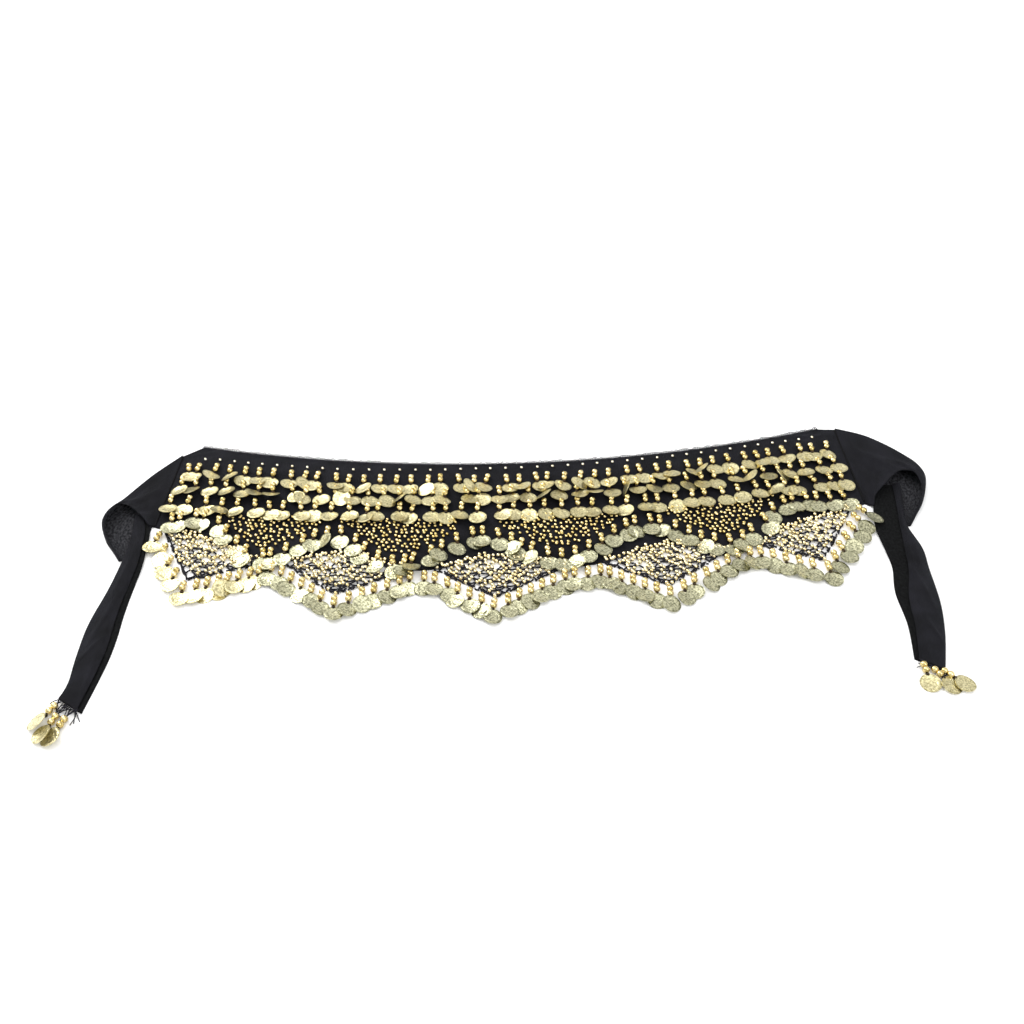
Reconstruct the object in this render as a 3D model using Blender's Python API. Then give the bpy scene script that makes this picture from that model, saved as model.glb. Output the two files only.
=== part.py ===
"""A belly dance hip scarf, laid out flat on a table with its two ties folded under and drawn towards the viewer.

A curved cloth panel carries three straight rows and one scalloped row of bead-and-coin strands. Five crocheted
net points hang from its lower edge, each with its own fringe of strands. Sizes are in millimetres until a mesh is
made. +X runs along the scarf, -Y towards the wearer's feet, +Z up, and the origin is under the middle of the box.
"""

import math

import bmesh
import bpy
import numpy as np

MM = 0.001

# Cloth
CLOTH = 1.2
SEAM = 0.4
REST = CLOTH / 2
ON_CLOTH = CLOTH + 0.3

# How far the laid-out scarf is moved so that the origin is under the middle of its box
LAYOUT_MOVE = -4.8

# Panel: the top edge is an arc, laid slightly turned, and depth is measured down from it
PANEL_MID = (-9.0, 153.0)
ARC_RADIUS = 1374.0
LAY_TURN = math.radians(2.7)
LEAN_SHARE = 0.10
LEFT_END = -369.0
RIGHT_END = 372.0
LEFT_CORNER = -350.0
RIGHT_CORNER = 352.0
LEFT_CORNER_FALL = 1.0
RIGHT_CORNER_FALL = 0.35
DEPTH_AT_NET = 142.0
DEPTH_WAVE = 18.0
DEPTH_AT_ENDS = 132.0
PANEL_COLUMNS = 54
PANEL_ROWS = 2
EDGING_WIDTH = 4.0
EDGING_COLUMNS = 27

# Nets: where each hangs, how steep its two sides are, how far its strands splay, and the strands beside its tip's
NET_COLUMNS = ("middle", "left_slope", "right_slope", "left_splay", "right_splay", "left", "right")
NET_ROWS = (
    (-316.0, 1.45, 0.68, -12.0, 0.0, 4, 7),
    (-170.0, 0.68, 0.68, 0.0, 0.0, 6, 6),
    (-19.0, 0.68, 0.68, 0.0, 0.0, 6, 7),
    (148.0, 0.68, 0.68, 0.0, 0.0, 7, 6),
    (307.0, 0.60, 1.30, 0.0, 43.0, 6, 6),
)
NETS = [dict(zip(NET_COLUMNS, row)) for row in NET_ROWS]
NET_TIP = 195.0
NET_END_INSET = 6.0
MESH_WIDTH = 12.4
MESH_HEIGHT = 6.0
MESH_OPEN = 0.68
MESH_RIM = 1.4
NET_EDGE_STEP = 12.0

# Strands: two beads on a thread, and a coin below them
BEAD = 5.5
COIN = 18.4
COIN_THICK = 0.9
COIN_SIDES = 8
STRAND_WIDTH = 4.0
STRIP_DEPTH = 3.0
STRIP_HEIGHT = 4.0
COIN_START = 2 * BEAD + 1.0

# The scalloped row rises to a crest over each net and falls to a trough between two nets
CRESTS = (-345.0, -177.0, -36.0, 131.0, 318.0)
TROUGHS = (-243.0, -95.0, 64.0, 227.0)

# Rows on the cloth: depth of the thread line, first and last strand, height of a coin's top and bottom. A row is
# cut into stretches, so that each follows the curve of the panel closely.
THIRDS = (-121.0, 121.0)
HALVES = (0.0,)
ROW_COLUMNS = ("name", "depth", "wave", "first", "last", "strands", "top", "bottom", "twist", "cuts")
ROW_ROWS = (
    ("coin_row_1", 21.0, 0.0, -360.0, 351.0, 44, 6.6, 11.1, -6.0, THIRDS),
    ("coin_row_2", 43.0, 0.0, -359.0, 353.0, 42, 6.6, 11.1, -6.0, HALVES),
    ("coin_row_3", 66.0, 0.0, -359.0, 356.0, 41, 6.2, 6.0, -6.0, HALVES),
    ("coin_row_4", 104.0, 33.0, -358.0, 351.0, 49, 6.4, 10.2, -14.0, CRESTS[1:4]),
)
ROWS = [dict(zip(ROW_COLUMNS, row)) for row in ROW_ROWS]
ROW_FALL_START = -300.0
ROW_FALL = 13.0
ROW_FALL_RUN = 61.0

FRINGE_GAP = 0.9
FRINGE_TOP = 5.0
FRINGE_BOTTOM = 3.3
FRINGE_TWIST = -14.0
FRINGE_LIFT = 3.4

# Tie bands: a sheet rolled over its outer edge and folded back under itself. The seam comes first, off the panel.
BAND_COLUMNS = ("roll_x", "roll_y", "height", "lip_x", "lip_y", "lip_z", "under_x", "under_y")
LEFT_BAND = (
    (-395.0, 133.0, 7.0, -384.5, 53.0, 4.2, -384.0, 118.0),
    (-405.0, 113.0, 9.5, -391.0, 60.0, 8.0, -384.0, 98.0),
    (-416.5, 89.0, 12.0, -402.0, 69.0, 11.5, -383.0, 75.0),
    (-428.0, 69.0, 13.0, -413.0, 74.0, 12.5, -382.0, 55.0),
    (-431.0, 53.0, 12.0, -422.0, 57.0, 11.5, -382.0, 39.0),
    (-423.0, 33.0, 9.0, -418.5, 35.0, 9.0, -383.0, 25.0),
    (-411.5, 17.0, 6.0, -408.5, 18.0, 6.0, -386.0, 15.0),
    (-402.0, 4.0, 3.6, -400.0, 5.0, 3.6, -394.0, 6.0),
)
RIGHT_BAND = (
    (382.0, 197.0, 6.5, 366.5, 82.0, 3.2, 368.0, 167.0),
    (400.0, 179.0, 9.5, 370.0, 91.0, 7.0, 367.0, 137.0),
    (415.0, 160.0, 12.0, 380.0, 105.0, 11.0, 367.0, 113.0),
    (427.0, 142.0, 13.5, 396.0, 120.0, 13.5, 369.0, 92.0),
    (431.0, 124.0, 13.5, 411.0, 119.0, 13.5, 371.0, 79.0),
    (426.0, 105.0, 12.0, 415.0, 102.0, 12.0, 374.0, 69.0),
    (417.5, 85.0, 9.0, 409.0, 83.0, 9.0, 378.0, 63.0),
    (407.0, 69.0, 6.0, 402.0, 69.0, 6.0, 383.0, 59.0),
    (398.0, 55.0, 3.6, 395.5, 55.0, 3.6, 388.0, 55.0),
)
BAND_STATIONS = 17
BAND_START_HEIGHT = 3.2
BAND_FOLD_UNDER = 8.0
ROLL_RADIUS = 4.5

# Tie tails: folded lengthwise at the outer edge, the upper layer reaching back over a share of the width
TAIL_COLUMNS = ("outer_x", "outer_y", "inner_x", "inner_y", "cover", "base", "puff")
LEFT_TAIL = (
    (-402.0, 67.0, -390.0, 68.0, 0.66, 1.5, 0.0),
    (-398.5, 43.0, -381.5, 45.0, 0.72, 1.5, 1.2),
    (-397.0, 17.0, -378.5, 19.0, 0.75, 1.5, 2.0),
    (-397.5, -3.0, -376.5, -5.0, 0.76, 1.5, 1.2),
    (-401.0, -37.0, -377.5, -35.0, 0.75, 0.0, 2.2),
    (-406.5, -80.0, -377.5, -65.0, 0.79, 0.0, 1.6),
    (-406.0, -117.0, -376.0, -98.0, 0.80, 0.0, 2.4),
    (-404.0, -147.0, -377.0, -128.0, 0.78, 0.0, 1.4),
    (-407.0, -164.0, -383.0, -179.0, 0.80, 0.0, 0.8),
)
RIGHT_TAIL = (
    (403.0, 117.0, 376.0, 117.0, 0.30, 1.5, 0.8),
    (400.0, 97.0, 371.0, 97.0, 0.25, 1.5, 0.8),
    (396.0, 77.0, 366.0, 81.0, 0.20, 1.5, 1.0),
    (393.0, 53.0, 360.5, 51.0, 0.22, 1.5, 1.2),
    (399.0, 20.0, 362.0, 17.0, 0.48, 1.5, 2.2),
    (398.0, -7.0, 363.0, -5.0, 0.56, 0.0, 2.6),
    (395.5, -50.0, 357.0, -38.0, 0.70, 0.0, 2.2),
    (388.0, -90.0, 357.5, -78.0, 0.80, 0.0, 1.8),
    (375.0, -133.0, 352.0, -119.0, 0.84, 0.0, 0.8),
)
TAIL_STATIONS = 19
TAIL_FOLD = 2.6
TAIL_LAYER_GAP = CLOTH + 0.5

# Strands on the tie ends: the share of the hem where each hangs, and the way it lies
LEFT_TIP = ((0.15, -18.0), (0.48, -12.0), (0.81, -6.0))
RIGHT_TIP = ((0.20, 2.0), (0.52, 8.0), (0.84, 22.0))
TIP_GAP = 0.4
TIP_TOP = 5.4
TIP_BOTTOM = 3.7
TIP_TWIST = -17.0

# Colours and finishes
BLACK_CLOTH = ((0.018, 0.018, 0.024), 0.85, 0.0)
BLACK_YARN = ((0.012, 0.012, 0.015), 0.90, 0.0)
PALE_GOLD = ((0.78, 0.70, 0.36), 0.32, 1.0)


def columns(names, rows):
    """A table of rows as one array for each named column."""
    values = np.array(rows, float)
    return {name: values[:, index] for index, name in enumerate(names)}


def along_spline(values, places):
    """A smooth curve through evenly numbered values, read at places counted in those numbers."""
    values = np.asarray(values, float)
    last = len(values) - 1
    whole = np.clip(np.floor(places).astype(int), 0, last - 1)
    part = places - whole
    before, start, end, after = (values[np.clip(whole + step, 0, last)] for step in (-1, 0, 1, 2))
    out_slope = (end - before) / 2
    in_slope = (after - start) / 2
    return (
        (2 * part**3 - 3 * part**2 + 1) * start
        + (part**3 - 2 * part**2 + part) * out_slope
        + (3 * part**2 - 2 * part**3) * end
        + (part**3 - part**2) * in_slope
    )


def panel_point(along, depth):
    """The place on the table of a point that far along the top edge and that far down from it."""
    angle = along / ARC_RADIUS
    chord = ARC_RADIUS * math.sin(angle)
    rise = ARC_RADIUS * (1 - math.cos(angle))
    x = PANEL_MID[0] + chord * math.cos(LAY_TURN) - rise * math.sin(LAY_TURN)
    y = PANEL_MID[1] + chord * math.sin(LAY_TURN) + rise * math.cos(LAY_TURN)
    lean = LEAN_SHARE * angle
    return np.array((x + depth * math.sin(lean), y - depth * math.cos(lean)))


def between_nets(along):
    """0 over a net and past the outer nets, and 1 halfway between two nets."""
    middles = [net["middle"] for net in NETS]
    for left, right in zip(middles, middles[1:]):
        if left < along < right:
            return 0.5 - 0.5 * math.cos(2 * math.pi * (along - left) / (right - left))
    return 0.0


def scallop(along):
    """0 at a crest of the scalloped row and past the outer crests, and 1 in a trough."""
    for crest, trough, following in zip(CRESTS, TROUGHS, CRESTS[1:]):
        if crest < along < following:
            run = (trough - crest) if along < trough else (following - trough)
            return 0.5 + 0.5 * math.cos(math.pi * abs(along - trough) / run)
    return 0.0


def top_depth(along):
    """The top edge follows the arc, and falls away past the two corners where it turns under."""
    left = max(0.0, LEFT_CORNER - along) * LEFT_CORNER_FALL
    right = max(0.0, along - RIGHT_CORNER) * RIGHT_CORNER_FALL
    return left + right


def row_fall(along):
    """How much lower the rows run towards the left corner."""
    share = max(0.0, ROW_FALL_START - along) / ROW_FALL_RUN
    return ROW_FALL * share**1.5


def cloth_depth(along):
    """How deep the panel is: deeper between the nets, and shallower towards its ends."""
    end_share = (along / RIGHT_END) ** 4
    return DEPTH_AT_NET + DEPTH_WAVE * between_nets(along) - (DEPTH_AT_NET - DEPTH_AT_ENDS) * min(1.0, end_share)


def net_depth(net, along):
    """How deep the two slanting sides of a net reach."""
    offset = along - net["middle"]
    slope = net["left_slope"] if offset < 0 else net["right_slope"]
    return NET_TIP - slope * abs(offset)


def net_reach(index):
    """How far along the fringe of a net runs: to halfway between nets, or to the panel's end."""
    middle = NETS[index]["middle"]
    left = LEFT_END + NET_END_INSET
    right = RIGHT_END - NET_END_INSET
    if index > 0:
        left = (NETS[index - 1]["middle"] + middle) / 2
    if index < len(NETS) - 1:
        right = (NETS[index + 1]["middle"] + middle) / 2
    return left, right


def fringe_depth(net, along):
    return max(cloth_depth(along), net_depth(net, along))


def finish(name, mesh_or_curve, look):
    """An object of that name with its material."""
    colour, roughness, metallic = look
    material = bpy.data.materials.new(name)
    material.use_nodes = True
    shader = material.node_tree.nodes["Principled BSDF"]
    shader.inputs["Base Color"].default_value = (*colour, 1.0)
    shader.inputs["Roughness"].default_value = roughness
    shader.inputs["Metallic"].default_value = metallic
    mesh_or_curve.materials.append(material)
    made = bpy.data.objects.new(name, mesh_or_curve)
    made.location.y = LAYOUT_MOVE * MM
    bpy.context.scene.collection.objects.link(made)
    return made


def sheet(name, grid, look):
    """A cloth wall: a grid of middle points, given its thickness by Solidify."""
    bm = bmesh.new()
    points = [[bm.verts.new(np.asarray(point) * MM) for point in line] for line in grid]
    for line, following in zip(points, points[1:]):
        for a, b, c, d in zip(line, line[1:], following[1:], following):
            bm.faces.new((a, b, c, d))
    mesh = bpy.data.meshes.new(name)
    bm.to_mesh(mesh)
    bm.free()
    mesh.shade_smooth()
    made = finish(name, mesh, look)
    thicken = made.modifiers.new("thickness", "SOLIDIFY")
    thicken.thickness = CLOTH * MM
    thicken.offset = 0.0
    thicken.use_even_offset = True
    return made


def panel():
    grid = []
    places = [LEFT_END, *np.linspace(LEFT_CORNER, RIGHT_CORNER, PANEL_COLUMNS + 1), RIGHT_END]
    for along in places:
        depths = np.linspace(top_depth(along), cloth_depth(along), PANEL_ROWS + 1)
        grid.append([(*panel_point(along, depth), REST) for depth in depths])
    return sheet("panel", grid, BLACK_CLOTH)


def top_edging():
    grid = []
    for along in np.linspace(LEFT_CORNER, RIGHT_CORNER, EDGING_COLUMNS + 1):
        edges = (-SEAM - EDGING_WIDTH, -SEAM)
        grid.append([(*panel_point(along, depth), REST) for depth in edges])
    return sheet("top_edging", grid, BLACK_YARN)


def band_profile(roll, height, lip, under):
    """The line of the cloth at one station: lip, over the roll, and back under along the floor."""
    inward = lip[:2] - roll
    inward = inward / max(np.linalg.norm(inward), 1e-6)
    radius = min(ROLL_RADIUS, 0.6 * np.linalg.norm(lip[:2] - roll))
    middle_height = (height + REST) / 2
    turn = []
    for angle in np.radians((90, 45, 0, -45, -90)):
        place = roll + inward * radius * (1 - math.cos(angle))
        turn.append((*place, middle_height + (height - REST) / 2 * math.sin(angle)))
    crest, floor = np.array(turn[0]), np.array(turn[-1])
    halfway = (lip + crest) / 2
    return [lip, halfway, *turn, (*(floor[:2] + under) / 2, REST), (*under, REST)]


def tie_band(name, rows, end):
    """The wide part of a tie, from the panel's end to where it is folded under itself."""
    outward = math.copysign(SEAM, end)
    front = panel_point(end + outward, cloth_depth(end))
    back = panel_point(end + outward, top_depth(end))
    fold = panel_point(end + 3 * outward, top_depth(end) + BAND_FOLD_UNDER)
    seam = (*back, BAND_START_HEIGHT, *front, REST, *fold)
    table = columns(BAND_COLUMNS, (seam, *rows))
    places = np.linspace(0, len(rows), BAND_STATIONS)
    at = {column: along_spline(values, places) for column, values in table.items()}
    grid = []
    for k in range(BAND_STATIONS):
        roll = np.array((at["roll_x"][k], at["roll_y"][k]))
        lip = np.array((at["lip_x"][k], at["lip_y"][k], max(REST, at["lip_z"][k])))
        under = np.array((at["under_x"][k], at["under_y"][k]))
        grid.append(band_profile(roll, at["height"][k], lip, under))
    return sheet(name, grid, BLACK_CLOTH)


def tie_tail(name, rows):
    """The narrow part of a tie: a flat lower layer, a fold at the outer edge, and an upper layer over it."""
    table = columns(TAIL_COLUMNS, rows)
    places = np.linspace(0, len(rows) - 1, TAIL_STATIONS)
    at = {column: along_spline(values, places) for column, values in table.items()}
    grid = []
    for k in range(TAIL_STATIONS):
        outer = np.array((at["outer_x"][k], at["outer_y"][k]))
        inner = np.array((at["inner_x"][k], at["inner_y"][k]))
        across = inner - outer
        width = np.linalg.norm(across)
        floor = REST + max(0.0, at["base"][k])
        top = floor + TAIL_FOLD
        turn = TAIL_FOLD / 2 / width
        line = [(*inner, floor), (*(outer + across * 0.5), floor), (*(outer + across * turn), floor)]
        line.append((*outer, (floor + top) / 2))
        for share in np.linspace(0, 1, 5):
            reach = turn + (at["cover"][k] - turn) * share
            sink = (TAIL_FOLD - TAIL_LAYER_GAP) * share
            puff = at["puff"][k] * math.sin(math.pi * share)
            line.append((*(outer + across * reach), top - sink + puff))
        grid.append(line)
    return sheet(name, grid, BLACK_CLOTH)


def net(index):
    """A crocheted net point: a flat wall with a rim, cut through by staggered diamond meshes."""
    this = NETS[index]
    low, high = net_reach(index)
    sampled = np.arange(low, high, NET_EDGE_STEP / 8)
    inside = [along for along in sampled if net_depth(this, along) > cloth_depth(along) + MESH_RIM]
    left, right = inside[0], inside[-1]
    count = max(2, round((right - left) / NET_EDGE_STEP))
    upper = [(along, cloth_depth(along) + SEAM) for along in np.linspace(left, right, count + 1)]
    lower = [(right, net_depth(this, right)), (this["middle"], NET_TIP), (left, net_depth(this, left))]
    outlines = [upper + lower]
    for row in range(1, 9):
        depth = DEPTH_AT_NET + MESH_HEIGHT * (row + 0.25)
        for column in range(-4, 5):
            along = this["middle"] + MESH_WIDTH * (column + 0.5 * (row % 2))
            half_width = MESH_WIDTH / 2 * MESH_OPEN
            half_height = MESH_HEIGHT * MESH_OPEN
            corners = [
                (along - half_width, depth),
                (along, depth + half_height),
                (along + half_width, depth),
                (along, depth - half_height),
            ]
            clear = all(
                cloth_depth(s) + SEAM + MESH_RIM < t < net_depth(this, s) - MESH_RIM and left < s < right
                for s, t in corners
            )
            if clear:
                outlines.append(corners)
    curve = bpy.data.curves.new(f"net_{index + 1}", "CURVE")
    curve.dimensions = "2D"
    curve.fill_mode = "BOTH"
    curve.extrude = CLOTH / 2 * MM
    for outline in outlines:
        spline = curve.splines.new("POLY")
        spline.points.add(len(outline) - 1)
        for point, (along, depth) in zip(spline.points, outline):
            x, y = panel_point(along, depth) * MM
            point.co = (x, y, 0.0, 1.0)
        spline.use_cyclic_u = True
    made = finish(f"net_{index + 1}", curve, BLACK_YARN)
    made.location.z = REST * MM
    return made


def strand_sections(top, bottom, twist):
    """The strand's cross-sections after its root: distance, half width, height and twist, down to the coin's end."""
    radius = COIN / 2
    wide = math.cos(math.pi / COIN_SIDES)
    middle = COIN_START + radius
    turns = [math.pi * (2 * step + 1) / COIN_SIDES for step in range(COIN_SIDES // 2)]
    shape = [(-math.cos(turn), math.sin(turn)) for turn in turns]
    sections = []
    for place, half_width in shape:
        share = (place + wide) / (2 * wide)
        height = top + (bottom - top) * share
        sections.append((middle + radius * place, radius * half_width, height, math.tan(math.radians(twist))))
    return sections


def strand_row(name, frames, floor):
    """Strands grown out of the front of a narrow thread strip. A frame holds a strand's root, direction and sections."""
    bm = bmesh.new()
    rings = []
    for root, _, tangent, _ in frames:
        inward = np.array((-tangent[1], tangent[0]))
        for side in (-1, 1):
            front = root + tangent * side * STRAND_WIDTH / 2
            back = front + inward * STRIP_DEPTH
            places = ((*front, floor), (*front, floor + STRIP_HEIGHT), (*back, floor))
            rings.append([bm.verts.new(np.array(place) * MM) for place in places])
    bm.faces.new(rings[0])
    bm.faces.new(rings[-1])
    roots = []
    for index, (a, b) in enumerate(zip(rings, rings[1:])):
        front = bm.faces.new((a[0], b[0], b[1], a[1]))
        bm.faces.new((a[1], b[1], b[2], a[2]))
        bm.faces.new((a[2], b[2], b[0], a[0]))
        if index % 2 == 0:
            roots.append(front)
    for face, (root, down, _, sections) in zip(roots, frames):
        side = np.array((-down[1], down[0]))
        for distance, half_width, height, slope in sections:
            face = bmesh.ops.extrude_discrete_faces(bm, faces=[face])["faces"][0]
            for vert, (left_right, low_high) in zip(face.verts, ((-1, -1), (1, -1), (1, 1), (-1, 1))):
                place = root + down * distance + side * left_right * half_width
                z = height + left_right * half_width * slope + low_high * COIN_THICK / 2
                vert.co = np.array((*place, z)) * MM
    bmesh.ops.recalc_face_normals(bm, faces=bm.faces)
    mesh = bpy.data.meshes.new(name)
    bm.to_mesh(mesh)
    bm.free()
    return finish(name, mesh, PALE_GOLD)


def turned(vector, degrees):
    angle = math.radians(degrees)
    x, y = vector
    return np.array((x * math.cos(angle) - y * math.sin(angle), x * math.sin(angle) + y * math.cos(angle)))


def downward(along):
    step = panel_point(along, 1.0) - panel_point(along, 0.0)
    return step / np.linalg.norm(step)


def path_frame(along, depth_of, turn, sections, clear=0.0):
    """A strand's frame on a line of that depth, or clear of the line, with its strip lying along it."""
    ahead = panel_point(along + 1, depth_of(along + 1)) - panel_point(along - 1, depth_of(along - 1))
    tangent = ahead / np.linalg.norm(ahead)
    outward = np.array((tangent[1], -tangent[0]))
    root = panel_point(along, depth_of(along)) + outward * clear
    return root, turned(downward(along), turn), tangent, sections


def coin_row(row):
    """A row of strands along the panel, each stretch of it a solid of its own."""
    sections = strand_sections(row["top"], row["bottom"], row["twist"])

    def depth_of(along):
        return row["depth"] + row_fall(along) + row["wave"] * scallop(along)

    places = np.linspace(row["first"], row["last"], row["strands"])
    edges = (-math.inf, *row["cuts"], math.inf)
    for stretch, (low, high) in enumerate(zip(edges, edges[1:])):
        frames = [path_frame(s, depth_of, 0.0, sections) for s in places if low <= s < high]
        strand_row(f"{row['name']}_{stretch + 1}", frames, ON_CLOTH)


def evenly_from(start, end, depth_of, count):
    """Places spaced evenly by the length of a line after its start, the last half a space before its end."""
    fine = np.linspace(start, end, 400)
    line = np.array([panel_point(s, depth_of(s)) for s in fine])
    run = np.concatenate([[0], np.cumsum(np.linalg.norm(np.diff(line, axis=0), axis=1))])
    wanted = np.arange(1, count + 1) / (count + 0.5) * run[-1]
    return [np.interp(length, run, fine) for length in wanted]


def fringe(index):
    """The strands along the lower edge of a net and of the cloth beside it."""
    this = NETS[index]
    low, high = net_reach(index)

    def depth_of(along):
        return fringe_depth(this, along)

    middle = this["middle"]
    before = evenly_from(middle, low, depth_of, this["left"])
    after = evenly_from(middle, high, depth_of, this["right"])
    frames = []
    for along in (*reversed(before), middle, *after):
        left_side = along < middle
        reach = (middle - low) if left_side else (high - middle)
        share = abs(along - middle) / reach
        splay = this["left_splay"] if left_side else this["right_splay"]
        lift = FRINGE_LIFT * share * abs(splay) / 43.0
        sections = strand_sections(FRINGE_TOP + lift, FRINGE_BOTTOM + lift, FRINGE_TWIST)
        turn = splay * share
        frames.append(path_frame(along, depth_of, turn, sections, FRINGE_GAP + STRIP_DEPTH))
    return strand_row(f"fringe_{index + 1}", frames, 0.3)


def tip_strands(name, tail_rows, rows):
    """The three strands on the end of a tie."""
    hem = tail_rows[-1]
    left, right = sorted((np.array(hem[0:2]), np.array(hem[2:4])), key=lambda corner: corner[0])
    tangent = (right - left) / np.linalg.norm(right - left)
    outward = np.array((tangent[1], -tangent[0]))
    sections = strand_sections(TIP_TOP, TIP_BOTTOM, TIP_TWIST)
    down = np.array((0.0, -1.0))
    frames = []
    for share, turn in rows:
        root = left + (right - left) * share + outward * (TIP_GAP + STRIP_DEPTH)
        frames.append((root, turned(down, turn), tangent, sections))
    return strand_row(name, frames, 0.3)


def main():
    for old in list(bpy.data.objects):
        bpy.data.objects.remove(old)
    panel()
    top_edging()
    tie_band("tie_left_band", LEFT_BAND, LEFT_END)
    tie_tail("tie_left_tail", LEFT_TAIL)
    tie_band("tie_right_band", RIGHT_BAND, RIGHT_END)
    tie_tail("tie_right_tail", RIGHT_TAIL)
    for row in ROWS:
        coin_row(row)
    for index in range(len(NETS)):
        net(index)
        fringe(index)
    tip_strands("tip_coins_left", LEFT_TAIL, LEFT_TIP)
    tip_strands("tip_coins_right", RIGHT_TAIL, RIGHT_TIP)


main()
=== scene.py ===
"""The look of a belly dance hip scarf, laid out flat, its ties folded and drawn towards the viewer."""

import math
import random

import bmesh
import bpy
import numpy as np
from mathutils import Matrix, Vector


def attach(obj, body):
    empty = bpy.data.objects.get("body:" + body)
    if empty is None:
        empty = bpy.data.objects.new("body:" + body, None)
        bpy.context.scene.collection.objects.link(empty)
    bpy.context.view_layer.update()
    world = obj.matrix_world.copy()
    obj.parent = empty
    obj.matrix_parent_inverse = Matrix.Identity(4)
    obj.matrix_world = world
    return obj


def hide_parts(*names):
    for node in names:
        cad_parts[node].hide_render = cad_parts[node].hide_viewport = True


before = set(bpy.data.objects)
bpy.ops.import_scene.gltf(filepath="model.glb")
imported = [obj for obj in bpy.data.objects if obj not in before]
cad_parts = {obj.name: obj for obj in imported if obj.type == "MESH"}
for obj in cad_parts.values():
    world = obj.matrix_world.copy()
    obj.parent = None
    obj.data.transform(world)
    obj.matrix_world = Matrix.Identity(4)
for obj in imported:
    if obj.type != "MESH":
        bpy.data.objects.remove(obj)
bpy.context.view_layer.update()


# The camera stands in front of the table and looks down on the scarf at 43 degrees, as a person
# would who has just laid it out.
VIEW_SPOT = (-0.012, -0.7103, 0.7297)
VIEW_TILT = 47.0
VIEW_LENS = 36.0
VIEW_SENSOR = 36.0
VIEW_NEAR = 0.01


def linked(name, data):
    """A new object of the scene, made of some mesh, lamp or camera data."""
    made = bpy.data.objects.new(name, data)
    bpy.context.scene.collection.objects.link(made)
    return made


view_data = bpy.data.cameras.new("view")
view_data.lens = VIEW_LENS
view_data.sensor_width = VIEW_SENSOR
view_data.clip_start = VIEW_NEAR
view = linked("view", view_data)
view.location = VIEW_SPOT
view.rotation_euler = (math.radians(VIEW_TILT), 0.0, 0.0)
bpy.context.scene.camera = view


# The table is a plain white sheet, lit until it is all white, as in a shop's picture. The room has bright
# low walls all round under a slightly dimmer ceiling. Soft lamps hang overhead, behind and in front.
TABLE_REACH = 6.0
TABLE_WHITE = (0.94, 0.94, 0.94, 1.0)
# Brightness of the room, from straight below at 0 through the horizon at 0.5 to straight above at 1
ROOM_TONES = ((0.0, 0.10), (0.50, 0.22), (0.59, 1.25), (0.76, 0.80), (1.0, 0.75))
LAMP_COLUMNS = ("name", "spot", "size", "power")
LAMPS = (
    ("overhead", (-0.1, -0.1, 2.0), (2.8, 2.4), 24.0),
    ("left_back", (-1.5, 1.3, 1.5), (1.5, 1.3), 48.0),
    ("front_right", (1.3, -1.3, 1.5), (0.6, 0.6), 12.0),
)


def set_inputs(tree, node, inputs):
    """Gives each listed input of a node its value, or a link from another node's output."""
    for socket, value in inputs.items():
        if isinstance(value, bpy.types.NodeSocket):
            tree.links.new(value, node.inputs[socket])
        else:
            node.inputs[socket].default_value = value


def add_node(tree, kind, inputs=None, **settings):
    """A new node of a tree, with its settings and its inputs."""
    node = tree.nodes.new(kind)
    for setting, value in settings.items():
        setattr(node, setting, value)
    set_inputs(tree, node, inputs or {})
    return node


def set_ramp(ramp, stops):
    """Gives a colour ramp its stops, each a place and a colour."""
    elements = ramp.color_ramp.elements
    while len(elements) < len(stops):
        elements.new(0.5)
    for element, (place, colour) in zip(elements, stops):
        element.position = place
        element.color = colour


def new_finish(name, inputs):
    """A new material, with some inputs of its shader."""
    finish = bpy.data.materials.new(name)
    finish.use_nodes = True
    set_inputs(finish.node_tree, finish.node_tree.nodes["Principled BSDF"], inputs)
    return finish


table_mesh = bpy.data.meshes.new("table")
table_corners = [(x * TABLE_REACH, y * TABLE_REACH, 0.0) for x, y in ((-1, -1), (1, -1), (1, 1), (-1, 1))]
table_mesh.from_pydata(table_corners, [], [(0, 1, 2, 3)])
table_look = {"Base Color": TABLE_WHITE, "Roughness": 0.9, "Specular IOR Level": 0.1}
table_mesh.materials.append(new_finish("white table", table_look))
table = linked("table", table_mesh)

room = bpy.data.worlds.new("room")
room.use_nodes = True
bpy.context.scene.world = room
around = add_node(room.node_tree, "ShaderNodeTexCoord")
upward = add_node(room.node_tree, "ShaderNodeSeparateXYZ", {0: around.outputs["Generated"]})
rise = add_node(room.node_tree, "ShaderNodeMapRange", {"From Min": -1.0, "Value": upward.outputs["Z"]})
tones = add_node(room.node_tree, "ShaderNodeValToRGB", {"Fac": rise.outputs[0]})
set_ramp(tones, [(place, (tone, tone, tone, 1.0)) for place, tone in ROOM_TONES])
set_inputs(room.node_tree, room.node_tree.nodes["Background"], {"Color": tones.outputs["Color"]})

for lamp_row in (dict(zip(LAMP_COLUMNS, values)) for values in LAMPS):
    lamp_data = bpy.data.lights.new(lamp_row["name"], "AREA")
    lamp_data.shape = "RECTANGLE"
    lamp_data.size, lamp_data.size_y = lamp_row["size"]
    lamp_data.energy = lamp_row["power"]
    lamp = linked(lamp_row["name"], lamp_data)
    lamp.location = lamp_row["spot"]
    lamp.rotation_euler = Vector(lamp_row["spot"]).to_track_quat("Z", "Y").to_euler()
bpy.context.scene.view_settings.view_transform = "Standard"


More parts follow.
